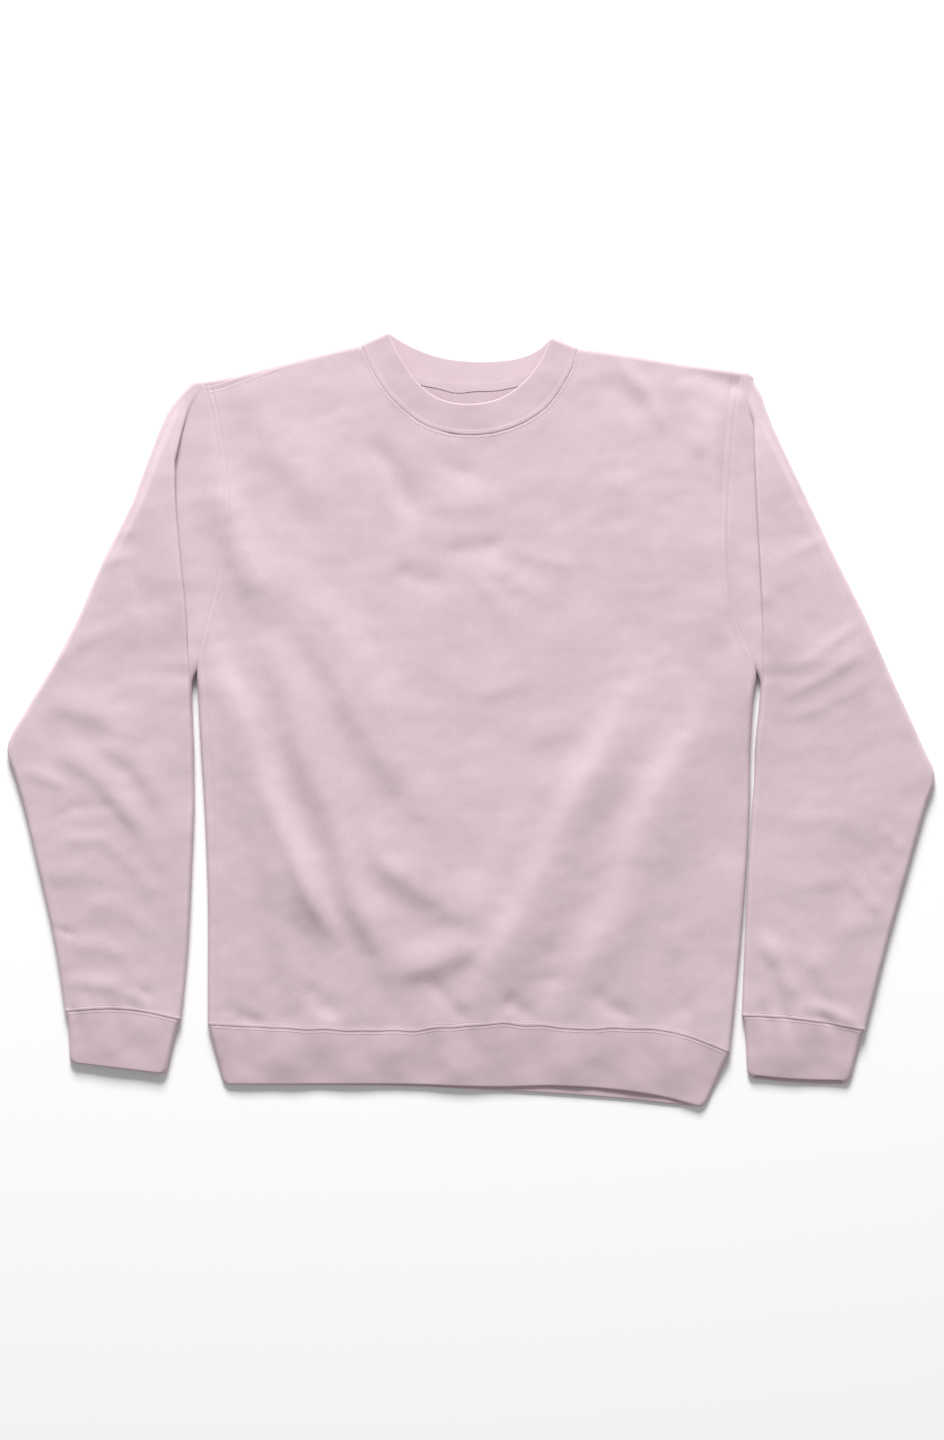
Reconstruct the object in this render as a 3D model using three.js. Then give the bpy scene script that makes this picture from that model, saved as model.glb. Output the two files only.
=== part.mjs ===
// A pastel crewneck sweatshirt, size S, laid flat and face up with both sleeves turned down.
// Millimetres. +X is the viewer's right, +Y runs from the hem to the collar, +Z is up from the surface.
// Each cut piece is one wall of cloth, drawn as a grid of points on the middle of that wall.
import * as THREE from "three";

// Cloth and layers
const WALL = 2.2; // brushed fleece
const SEAM_GAP = 0.3; // between two pieces sewn edge to edge
const AIR = 5; // clear space between the back layer and the front one
const LOW = WALL / 2; // middle of the back layer, which lies on the surface
const HIGH = LOW + WALL + AIR; // middle of the front layer where it has no fold
const MIDDLE = (LOW + HIGH) / 2;
const EDGE = (HIGH - LOW) / 2; // radius of a turned edge, on the middle of the wall
const HALF_GAP = SEAM_GAP / 2;
const CORNER_GAP = 2; // more of a gap where the collar's turned ends meet the shoulder seams

// Segments of the grids
const ARC_STEPS = 3; // round a turned edge, from its side to its top
const CORNER_STEPS = 2; // round the collar's turned ends
const PANEL_ROWS = 30;
const SHOULDER_STEPS = 6;
const FRONT_NECK_STEPS = 10;
const BACK_SHOULDER_STEPS = 2;
const BACK_NECK_STEPS = 6;
const ELBOW_ROWS = 4; // from the underarm to the elbow
const FOREARM_ROWS = 11; // from the elbow to the cuff
const FLAP_STEPS = 8;
const TURN_STEPS = 3; // each of the pleat's two bends
const PLEAT_STEPS = 2 * TURN_STEPS + 1;
const CAP_STEPS = 2;
const SLEEVE_BACK_STEPS = 2;
const BAND_ROWS = 3;
const CUFF_STEPS = 7;

// Plan of the body
const UNDERARM_Y = 42;
const UNDERARM_BLEND = 12; // how far either side of the underarm its corner is rounded
const PANEL_WIDTH = 492; // mean, turns a distance into a share of the width
const PANEL_HEIGHT = 598; // mean, turns a distance into a share of the height
const NECK_FROM = 0.3; // share of the panel's width where the collar starts
const NECK_TO = 0.7;
const HEM_LEFT = { x: -244, y: -284 };
const HEM_RIGHT = { x: 240, y: -310 };

// Side folds below the underarm and armhole seams above it
const BODY_EDGES = [
  { y: -310, left: -244, right: 240 },
  { y: -240, left: -244, right: 247 },
  { y: -168, left: -244, right: 253 },
  { y: -85, left: -247, right: 258 },
  { y: -20, left: -251, right: 259.5 },
  { y: 20, left: -253, right: 262 },
  { y: 42, left: -254, right: 264.5 },
  { y: 60, left: -252.5, right: 260 },
  { y: 90, left: -245, right: 246 },
  { y: 130, left: -235, right: 240 },
  { y: 180, left: -230, right: 238.5 },
  { y: 232, left: -233, right: 241 },
  { y: 286, left: -241, right: 245.5 },
  { y: 323, left: -251, right: 251 },
];

// Shoulder line, from the armhole's top to the collar
const SHOULDERS = [
  { share: 0, leftX: -249, leftY: 314.5, rightX: 251, rightY: 323 },
  { share: 0.3, leftX: -215, leftY: 320.5, rightX: 204, rightY: 329.5 },
  { share: 0.65, leftX: -155, leftY: 336, rightX: 149, rightY: 338.5 },
  { share: 1, leftX: -101.5, leftY: 348.5, rightX: 98.5, rightY: 345.5 },
];

// Neck, from the wearer's right to left: the band's seam and its free rim, in front and behind
const NECK = [
  { share: 0, seamX: -101.5, seamY: 348.5, rimX: -77, rimY: 360, backX: -101.5, backY: 348.5, topX: -77, topY: 360 },
  { share: 0.125, seamX: -92, seamY: 326, rimX: -66, rimY: 337, backX: -83, backY: 334.5, topX: -60, topY: 349.5 },
  { share: 0.25, seamX: -73, seamY: 298.5, rimX: -50, rimY: 313.5, backX: -58, backY: 322, topX: -41, topY: 341 },
  { share: 0.375, seamX: -42, seamY: 274, rimX: -28, rimY: 297.5, backX: -32, backY: 314.5, topX: -20, topY: 335.5 },
  { share: 0.5, seamX: -3, seamY: 265, rimX: 0, rimY: 293, backX: -2, backY: 311.5, topX: 1, topY: 333.5 },
  { share: 0.625, seamX: 36, seamY: 271, rimX: 28, rimY: 299, backX: 30, backY: 314, topX: 22, topY: 333.5 },
  { share: 0.75, seamX: 69, seamY: 290, rimX: 50, rimY: 314.5, backX: 56, backY: 322, topX: 43, topY: 336 },
  { share: 0.875, seamX: 91, seamY: 322, rimX: 66, rimY: 336, backX: 80, backY: 333.5, topX: 61, topY: 343 },
  { share: 1, seamX: 98.5, seamY: 345.5, rimX: 75, rimY: 355, backX: 98.5, backY: 345.5, topX: 75, topY: 355 },
];
const NECK_SEAM_LENGTH = 262; // round the front of the neck
const BACK_SEAM_LENGTH = 214; // round the back of the neck
const TAPE_WIDTH = 7;
const TAPE_THICKNESS = 1;
const TAPE_FROM = 0.1; // shares of the back neck seam
const TAPE_TO = 0.9;
const TAPE_STEPS = 10;

// Hem band: its seam in front, and the free edges of its two layers, as shares across
const HEM = [
  { share: 0, seam: -284, frontEdge: -340, backEdge: -340.5 },
  { share: 0.12, seam: -287, frontEdge: -340, backEdge: -341 },
  { share: 0.37, seam: -290, frontEdge: -340, backEdge: -342 },
  { share: 0.57, seam: -283.5, frontEdge: -342.5, backEdge: -346 },
  { share: 0.7, seam: -288, frontEdge: -341.5, backEdge: -349 },
  { share: 0.86, seam: -289, frontEdge: -347, backEdge: -354.5 },
  { share: 0.93, seam: -296.5, frontEdge: -352.5, backEdge: -358 },
  { share: 1, seam: -310, frontEdge: -360.7, backEdge: -361 },
];
const HEM_EDGE_LEFT_X = -229;
const HEM_EDGE_RIGHT_X = 216;

// Sleeves: the arm's outer edge, and the fold that is the pleat's edge above the underarm and the
// inner edge below it. The pleat turns by an angle and tucks in by a length.
const ARMS = [
  { y: 314, leftOuter: -258, leftFold: -254, rightOuter: 262, rightFold: 257, turn: 0, tuck: 0 },
  { y: 304, leftOuter: -267, leftFold: -262, rightOuter: 268, rightFold: 261, turn: 5, tuck: 0 },
  { y: 290, leftOuter: -278.5, leftFold: -271, rightOuter: 273, rightFold: 263, turn: 30, tuck: 0 },
  { y: 270, leftOuter: -288, leftFold: -276, rightOuter: 281, rightFold: 264, turn: 85, tuck: 0 },
  { y: 246, leftOuter: -297.6, leftFold: -276, rightOuter: 292, rightFold: 264.5, turn: 130, tuck: 1 },
  { y: 200, leftOuter: -314.8, leftFold: -275.3, rightOuter: 314, rightFold: 266.5, turn: 170, tuck: 4 },
  { y: 150, leftOuter: -340, leftFold: -271, rightOuter: 338, rightFold: 269.3, turn: 170, tuck: 4 },
  { y: 92, leftOuter: -365.5, leftFold: -265.5, rightOuter: 367, rightFold: 272, turn: 120, tuck: 1 },
  { y: 60, leftOuter: -382, leftFold: -264, rightOuter: 381, rightFold: 272, turn: 90, tuck: 0 },
  { y: 36, leftOuter: -396, leftFold: -261, rightOuter: 391.5, rightFold: 271, turn: 90, tuck: 0 },
  { y: 10, leftOuter: -412, leftFold: -260.5, rightOuter: 403.5, rightFold: 269, turn: 90, tuck: 0 },
  { y: -27, leftOuter: -430.6, leftFold: -259, rightOuter: 420, rightFold: 265.5, turn: 90, tuck: 0 },
  { y: -53, leftOuter: -423.5, leftFold: -258.7, rightOuter: 430.6, rightFold: 265, turn: 90, tuck: 0 },
  { y: -80, leftOuter: -415.7, leftFold: -258.6, rightOuter: 422.5, rightFold: 263, turn: 90, tuck: 0 },
  { y: -131, leftOuter: -403.6, leftFold: -260.5, rightOuter: 408, rightFold: 259.5, turn: 90, tuck: 0 },
  { y: -206, leftOuter: -387, leftFold: -264, rightOuter: 387, rightFold: 256, turn: 90, tuck: 0 },
  { y: -290, leftOuter: -374.5, leftFold: -272, rightOuter: 366, rightFold: 252.5, turn: 90, tuck: 0 },
];
const PLEAT_RADIUS = 1.7; // of each tight bend, on the middle of the wall
const PLEAT_RUN = 0.4; // shortest cloth between the two bends
const BEND_SHARE = 0.2; // longest share of a narrow section that one slack bend takes
const FLAP_SHARE = 0.3; // least share of a narrow section that the flap takes
const FLAP_FADE = 48; // how far from the pleat its cloth comes back down

// Each sleeve's elbow and top, and its cuff's seam and free edge from the outer to the inner side
const SLEEVES = {
  left: {
    side: -1,
    elbowY: -27,
    capY: 312.5,
    seam: { outerY: -272, innerY: -279.5, bow: 6 },
    edge: { outerX: -372, outerY: -320, innerX: -285, innerY: -330, bow: 0, backDrop: 0.8 },
  },
  right: {
    side: 1,
    elbowY: -53,
    capY: 317,
    seam: { outerY: -289.5, innerY: -276, bow: 3 },
    edge: { outerX: 351, outerY: -336.5, innerX: 259, innerY: -331.5, bow: -1.5, backDrop: 3.5 },
  },
};

// Largest folds of the front layer. Each runs in an arc through three points and is a ridge that
// falls away over one width on its left, looking along it, and another on its right.
const FOLDS = [
  { fromX: -229, fromY: 30, midX: -191, midY: -94, toX: -126, toY: -205, height: 9, left: 26, right: 13 },
  { fromX: -186, fromY: 60, midX: -131, midY: -98, toX: -74, toY: -243, height: 8, left: 22, right: 13 },
  { fromX: -240, fromY: 266, midX: -160, midY: 107, toX: -22, toY: -114, height: 5, left: 40, right: 17 },
  { fromX: -104, fromY: -105, midX: -42, midY: -158, toX: 24, toY: -197, height: 7, left: 24, right: 9 },
  { fromX: -88, fromY: -250, midX: -50, midY: -225, toX: 4, toY: -217, height: 8, left: 16, right: 12 },
  { fromX: 152, fromY: 40, midX: 76, midY: -110, toX: -6, toY: -268, height: 7, left: 18, right: 26 },
  { fromX: 209, fromY: 12, midX: 152, midY: -118, toX: 92, toY: -264, height: 6, left: 16, right: 30 },
  { fromX: 224, fromY: 306, midX: 230, midY: 170, toX: 256, toY: -60, height: 6, left: 9, right: 18 },
  { fromX: -192, fromY: -103, midX: -178, midY: -190, toX: -164, toY: -271, height: 3.5, left: 16, right: 14 },
  { fromX: -334, fromY: -37, midX: -300, midY: -60, toX: -280, toY: -96, height: 6, left: 18, right: 10 },
  { fromX: -385, fromY: -37, midX: -345, midY: -62, toX: -300, toY: -112, height: 6, left: 18, right: 10 },
  { fromX: -398, fromY: 14, midX: -352, midY: 2, toX: -306, toY: -18, height: 5, left: 20, right: 13 },
  { fromX: -392, fromY: -152, midX: -370, midY: -142, toX: -340, toY: -148, height: 3, left: 14, right: 10 },
  { fromX: -378, fromY: -250, midX: -335, midY: -248, toX: -298, toY: -262, height: 4, left: 12, right: 9 },
  { fromX: 308, fromY: 20, midX: 340, midY: 10, toX: 386, toY: 30, height: 4, left: 16, right: 12 },
  { fromX: 268, fromY: -204, midX: 288, midY: -236, toX: 306, toY: -262, height: 6, left: 14, right: 10 },
  { fromX: 388, fromY: -168, midX: 352, midY: -200, toX: 306, toY: -232, height: 4, left: 18, right: 12 },
  { fromX: -310, fromY: 200, midX: -345, midY: 60, toX: -330, toY: -240, height: 3, left: 42, right: 42 },
  { fromX: 300, fromY: 200, midX: 345, midY: 50, toX: 312, toY: -240, height: 3, left: 42, right: 42 },
];
const FOLD_SAMPLES = 14;
const FOLD_TAPER = 0.22; // share of a fold's length over which each end rises

const CLOTH_COLOUR = 0xe3cbd4;
const RIB_COLOUR = 0xdcc3cc;
const TAPE_COLOUR = 0xdfc8d1;

function mix(from, to, share) {
  return from + (to - from) * share;
}

function smooth(from, to, value) {
  return THREE.MathUtils.smoothstep(value, from, to);
}

// A column of a table read at any value of another column, as a smooth curve through its rows
function read(table, by, value, column) {
  const rising = table[0][by] < table[table.length - 1][by];
  const rows = rising ? table : [...table].reverse();
  let i = rows.findIndex((row) => row[by] >= value);
  i = THREE.MathUtils.clamp(i < 0 ? rows.length - 1 : i, 1, rows.length - 1);
  const slope = (a, b) => (rows[b][column] - rows[a][column]) / (rows[b][by] - rows[a][by]);
  const span = rows[i][by] - rows[i - 1][by];
  const here = slope(i - 1, i);
  const startSlope = i > 1 ? (slope(i - 2, i - 1) + here) / 2 : here;
  const endSlope = i < rows.length - 1 ? (slope(i, i + 1) + here) / 2 : here;
  const t = THREE.MathUtils.clamp((value - rows[i - 1][by]) / span, 0, 1);
  const t2 = t * t;
  const t3 = t2 * t;
  return rows[i - 1][column] * (2 * t3 - 3 * t2 + 1) + rows[i][column] * (3 * t2 - 2 * t3)
    + (startSlope * (t3 - 2 * t2 + t) + endSlope * (t3 - t2)) * span;
}

// Points along a fold's arc, worked out once
const foldLines = FOLDS.map((fold) => {
  const bendX = 2 * fold.midX - (fold.fromX + fold.toX) / 2;
  const bendY = 2 * fold.midY - (fold.fromY + fold.toY) / 2;
  const curve = new THREE.QuadraticBezierCurve(
    new THREE.Vector2(fold.fromX, fold.fromY),
    new THREE.Vector2(bendX, bendY),
    new THREE.Vector2(fold.toX, fold.toY),
  );
  return { fold, points: curve.getPoints(FOLD_SAMPLES) };
});

// Height of one fold over a point: the nearest place on its line sets the distance and the side
function foldHeight({ fold, points }, x, y) {
  let best = { distance: Infinity, side: 1, share: 0 };
  for (let i = 0; i < points.length - 1; i += 1) {
    const a = points[i];
    const b = points[i + 1];
    const alongX = b.x - a.x;
    const alongY = b.y - a.y;
    const t = THREE.MathUtils.clamp(
      ((x - a.x) * alongX + (y - a.y) * alongY) / (alongX * alongX + alongY * alongY), 0, 1);
    const awayX = x - a.x - alongX * t;
    const awayY = y - a.y - alongY * t;
    const distance = Math.hypot(awayX, awayY);
    if (distance < best.distance) {
      best = { distance, side: alongX * awayY - alongY * awayX, share: (i + t) / (points.length - 1) };
    }
  }
  const width = best.side > 0 ? fold.left : fold.right;
  const taper = smooth(0, FOLD_TAPER, best.share) * smooth(0, FOLD_TAPER, 1 - best.share);
  return fold.height * taper * Math.exp(-((best.distance / width) ** 2));
}

// Middle of the front layer's wall over any point of the plan
function frontHeight(x, y) {
  return foldLines.reduce((sum, line) => sum + foldHeight(line, x, y), HIGH);
}

// 0 where a side edge is closed, below the underarm, and 1 where the armhole opens above it
function armholeOpen(y) {
  return smooth(UNDERARM_Y - UNDERARM_BLEND, UNDERARM_Y + UNDERARM_BLEND, y);
}

// Inset and level round a turned edge: level 0 at its side and 1 where the layer is flat
function turnedEdge(share) {
  const start = Math.asin(HALF_GAP / EDGE);
  const angle = mix(start, Math.PI / 2, share);
  return { inset: EDGE * (1 - Math.cos(angle)), level: Math.sin(angle) };
}

// One closed solid from a grid of points: both faces of the wall, and its rims
function clothWall({ columns, rows, ring = false, thickness = WALL, point }) {
  const small = 0.01;
  const columnCount = ring ? columns : columns + 1;
  const positions = [];
  const normalAt = (column, row) => {
    const left = ring ? column - small : Math.max(0, column - small);
    const right = ring ? column + small : Math.min(columns, column + small);
    const low = Math.max(0, row - small);
    const high = Math.min(rows, row + small);
    const across = point(right, row).sub(point(left, row));
    const along = point(column, high).sub(point(column, low));
    return across.cross(along).normalize();
  };
  for (const side of [1, -1]) {
    for (let row = 0; row <= rows; row += 1) {
      for (let column = 0; column < columnCount; column += 1) {
        const place = point(column, row).addScaledVector(normalAt(column, row), (side * thickness) / 2);
        positions.push(place.x, place.y, place.z);
      }
    }
  }
  const faceSize = (rows + 1) * columnCount;
  const corner = (face, column, row) => face * faceSize + row * columnCount + (column % columnCount);
  const triangles = [];
  const quad = (a, b, c, d) => triangles.push(a, b, c, a, c, d);
  for (let row = 0; row < rows; row += 1) {
    for (let column = 0; column < columns; column += 1) {
      quad(corner(0, column, row), corner(0, column + 1, row),
        corner(0, column + 1, row + 1), corner(0, column, row + 1));
      quad(corner(1, column, row), corner(1, column, row + 1),
        corner(1, column + 1, row + 1), corner(1, column + 1, row));
    }
  }
  for (let column = 0; column < columns; column += 1) {
    quad(corner(1, column, 0), corner(1, column + 1, 0), corner(0, column + 1, 0), corner(0, column, 0));
    quad(corner(0, column, rows), corner(0, column + 1, rows),
      corner(1, column + 1, rows), corner(1, column, rows));
  }
  for (let row = 0; row < rows && !ring; row += 1) {
    quad(corner(0, 0, row), corner(0, 0, row + 1), corner(1, 0, row + 1), corner(1, 0, row));
    quad(corner(1, columns, row), corner(1, columns, row + 1),
      corner(0, columns, row + 1), corner(0, columns, row));
  }
  const geometry = new THREE.BufferGeometry();
  geometry.setAttribute("position", new THREE.Float32BufferAttribute(positions, 3));
  geometry.setIndex(signedVolume(positions, triangles) > 0 ? triangles : triangles.reverse());
  geometry.computeVertexNormals();
  return geometry;
}

function signedVolume(positions, triangles) {
  const corner = (i) => new THREE.Vector3().fromArray(positions, triangles[i] * 3);
  let volume = 0;
  for (let i = 0; i < triangles.length; i += 3) {
    volume += corner(i).dot(corner(i + 1).cross(corner(i + 2))) / 6;
  }
  return volume;
}

function piece(name, geometry, color) {
  const material = new THREE.MeshStandardMaterial({ color, roughness: 0.95, metalness: 0 });
  const mesh = new THREE.Mesh(geometry, material);
  mesh.name = name;
  return mesh;
}

// Place in the collar for a column of the neck: its share round and its level at the turned ends
function neckPlace(column, steps, length) {
  const last = steps + 2 * CORNER_STEPS;
  const fromEnd = Math.min(column, last - column);
  const endShare = EDGE / length;
  if (fromEnd < CORNER_STEPS) {
    const angle = (fromEnd / CORNER_STEPS) * (Math.PI / 2);
    const share = endShare * (1 - Math.cos(angle));
    return { share: column < last / 2 ? share : 1 - share, level: Math.sin(angle) };
  }
  return { share: mix(endShare, 1 - endShare, (column - CORNER_STEPS) / steps), level: 1 };
}

// Share across a panel for one of its columns, with the levels of its side edges and its neck
function panelPlace(column, shoulderSteps, neckSteps, neckLength) {
  const neckColumns = neckSteps + 2 * CORNER_STEPS;
  const last = 2 * (ARC_STEPS + shoulderSteps) + neckColumns;
  const edgeShare = EDGE / PANEL_WIDTH;
  const fromSide = Math.min(column, last - column);
  const mirror = (share) => (column < last / 2 ? share : 1 - share);
  if (fromSide < ARC_STEPS) {
    const edge = turnedEdge(fromSide / ARC_STEPS);
    return { share: mirror(Math.max(edge.inset, HALF_GAP) / PANEL_WIDTH), side: edge.level, neck: 0 };
  }
  if (fromSide < ARC_STEPS + shoulderSteps) {
    const share = mix(edgeShare, NECK_FROM, (fromSide - ARC_STEPS) / shoulderSteps);
    return { share: mirror(share), side: 1, neck: 0 };
  }
  const neck = neckPlace(column - ARC_STEPS - shoulderSteps, neckSteps, neckLength);
  return { share: mix(NECK_FROM, NECK_TO, neck.share), side: 1, neck: neck.level };
}

// Top edge of a panel: shoulder, neck and shoulder
function panelTop(share, isFront) {
  if (share < NECK_FROM) {
    const along = share / NECK_FROM;
    return [read(SHOULDERS, "share", along, "leftX"), read(SHOULDERS, "share", along, "leftY")];
  }
  if (share > NECK_TO) {
    const along = (1 - share) / (1 - NECK_TO);
    return [read(SHOULDERS, "share", along, "rightX"), read(SHOULDERS, "share", along, "rightY")];
  }
  const round = (share - NECK_FROM) / (NECK_TO - NECK_FROM);
  return [
    read(NECK, "share", round, isFront ? "seamX" : "backX"),
    read(NECK, "share", round, isFront ? "seamY" : "backY"),
  ];
}

// The hem seam waves in front, and runs straight behind
function hemSeam(share, isFront) {
  const straight = mix(HEM_LEFT.y, HEM_RIGHT.y, share);
  return [mix(HEM_LEFT.x, HEM_RIGHT.x, share), isFront ? read(HEM, "share", share, "seam") : straight];
}

// Plan of a panel: blended between its four edges
function panelPlan(across, up, isFront) {
  const sideLeftY = mix(HEM_LEFT.y, SHOULDERS[0].leftY, up);
  const sideRightY = mix(HEM_RIGHT.y, SHOULDERS[0].rightY, up);
  const left = [read(BODY_EDGES, "y", sideLeftY, "left"), sideLeftY];
  const right = [read(BODY_EDGES, "y", sideRightY, "right"), sideRightY];
  const top = panelTop(across, isFront);
  const bottom = hemSeam(across, isFront);
  const corners = [
    [HEM_LEFT.x, HEM_LEFT.y],
    [HEM_RIGHT.x, HEM_RIGHT.y],
    [SHOULDERS[0].leftX, SHOULDERS[0].leftY],
    [SHOULDERS[0].rightX, SHOULDERS[0].rightY],
  ];
  return [0, 1].map((axis) => mix(bottom[axis], top[axis], up) + mix(left[axis], right[axis], across)
    - mix(mix(corners[0][axis], corners[1][axis], across), mix(corners[2][axis], corners[3][axis], across), up));
}

// Share up a panel for one of its rows, with the level of its top edge
function panelRow(row) {
  const lowest = HALF_GAP / PANEL_HEIGHT;
  const arcStart = PANEL_ROWS - ARC_STEPS;
  if (row > arcStart) {
    const edge = turnedEdge((PANEL_ROWS - row) / ARC_STEPS);
    return { up: 1 - Math.max(edge.inset, HALF_GAP) / PANEL_HEIGHT, top: edge.level };
  }
  return { up: mix(lowest, 1 - EDGE / PANEL_HEIGHT, row / arcStart), top: 1 };
}

// Front and back body panels: side folds and shoulder edges are turned, the rest lies in its layer
function bodyPanel(name, isFront) {
  const shoulderSteps = isFront ? SHOULDER_STEPS : BACK_SHOULDER_STEPS;
  const neckSteps = isFront ? FRONT_NECK_STEPS : BACK_NECK_STEPS;
  const neckLength = isFront ? NECK_SEAM_LENGTH : BACK_SEAM_LENGTH;
  const geometry = clothWall({
    columns: 2 * (ARC_STEPS + shoulderSteps + CORNER_STEPS) + neckSteps,
    rows: PANEL_ROWS,
    point: (column, row) => {
      const place = panelPlace(column, shoulderSteps, neckSteps, neckLength);
      const { up, top } = panelRow(row);
      const [x, y] = panelPlan(place.share, up, isFront);
      const side = mix(place.side, 1, armholeOpen(y));
      const flat = isFront ? frontHeight(x, y) : LOW;
      return new THREE.Vector3(x, y, mix(MIDDLE, flat, side * mix(top, 1, place.neck)));
    },
  });
  return piece(name, geometry, CLOTH_COLOUR);
}

// Rows of a sleeve: above the underarm they meet the panel's rows at the armhole seam
function sleeveRows(arm) {
  const bottomY = arm.side < 0 ? HEM_LEFT.y : HEM_RIGHT.y;
  const topY = arm.side < 0 ? SHOULDERS[0].leftY : SHOULDERS[0].rightY;
  const panelYs = [];
  for (let row = PANEL_ROWS - ARC_STEPS; row >= 0; row -= 1) {
    const y = mix(bottomY, topY, panelRow(row).up);
    if (y > UNDERARM_Y - UNDERARM_BLEND) {
      panelYs.push(y);
    }
  }
  const from = panelYs[panelYs.length - 1];
  const elbowYs = Array.from({ length: ELBOW_ROWS }, (_, i) => mix(from, arm.elbowY, (i + 1) / ELBOW_ROWS));
  const forearm = Array.from({ length: FOREARM_ROWS }, (_, i) => (i + 1) / FOREARM_ROWS);
  return [
    ...panelYs.map((y) => ({ y, forearm: 0 })),
    ...elbowYs.map((y) => ({ y, forearm: 0 })),
    ...forearm.map((share) => ({ y: null, forearm: share })),
  ];
}

// The pleat from the flap's top (share 0) down to the cap cloth (share 1): a bend one way, a short
// run, and a bend back. The radius is wider where the cloth turns less than a right angle.
function pleatPlace(share, { turn, tuck, radius }) {
  const step = share * PLEAT_STEPS;
  const first = THREE.MathUtils.clamp(step / TURN_STEPS, 0, 1) * turn;
  const run = THREE.MathUtils.clamp(step - TURN_STEPS, 0, 1) * (tuck + PLEAT_RUN);
  const second = THREE.MathUtils.clamp((step - TURN_STEPS - 1) / TURN_STEPS, 0, 1) * turn;
  const remaining = turn - second;
  const forward = radius * Math.sin(first) + run * Math.cos(turn)
    + radius * (Math.sin(turn) - Math.sin(remaining));
  const down = radius * (1 - Math.cos(first)) + run * Math.sin(turn)
    + radius * (Math.cos(remaining) - Math.cos(turn));
  return { forward, down };
}

// Sizes of a sleeve's section at one row
function armSection(arm, rowPlace) {
  const prefix = arm.side < 0 ? "left" : "right";
  const lastY = { outer: arm.seam.outerY + HALF_GAP, inner: arm.seam.innerY + HALF_GAP };
  const outerY = rowPlace.y ?? mix(arm.elbowY, lastY.outer, rowPlace.forearm);
  const innerY = rowPlace.y ?? mix(arm.elbowY, lastY.inner, rowPlace.forearm);
  const outerX = read(ARMS, "y", outerY, `${prefix}Outer`);
  const outerCentre = outerX - arm.side * EDGE;
  const seamX = read(BODY_EDGES, "y", innerY, prefix) + arm.side * HALF_GAP;
  const open = armholeOpen(innerY);
  const cloth = Math.abs(seamX - outerCentre);
  const turn = THREE.MathUtils.degToRad(Math.max(1, read(ARMS, "y", innerY, "turn") * open));
  const bend = Math.min(PLEAT_RADIUS * Math.PI / 2, cloth * BEND_SHARE);
  const pleat = {
    turn,
    tuck: Math.max(0, read(ARMS, "y", innerY, "tuck")),
    radius: Math.max(PLEAT_RADIUS * smooth(0, Math.PI / 2, turn), bend / turn),
  };
  const foldX = read(ARMS, "y", innerY, `${prefix}Fold`);
  const nose = foldX + arm.side * pleat.radius * Math.sin(Math.min(turn, Math.PI / 2));
  const flapEnd = arm.side * Math.min(arm.side * nose, arm.side * outerCentre - cloth * FLAP_SHARE);
  return {
    side: arm.side,
    outerX,
    outerCentre,
    outerY: Math.min(outerY, mix(outerY, arm.capY, open)),
    foldX,
    foldCentre: mix(foldX + arm.side * EDGE, flapEnd, open),
    flapEnd,
    seamX,
    innerY,
    bow: arm.seam.bow * rowPlace.forearm ** 3,
    pleat,
    rise: pleatPlace(1, pleat).down,
    open,
  };
}

// Zones of a sleeve's section, in order round it, with the segments of each
const SLEEVE_ZONES = [
  { name: "underside edge", steps: ARC_STEPS },
  { name: "underside", steps: SLEEVE_BACK_STEPS },
  { name: "outer edge", steps: 2 * ARC_STEPS - 2 },
  { name: "flap", steps: FLAP_STEPS },
  { name: "pleat", steps: PLEAT_STEPS },
  { name: "cap", steps: CAP_STEPS },
];

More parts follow.
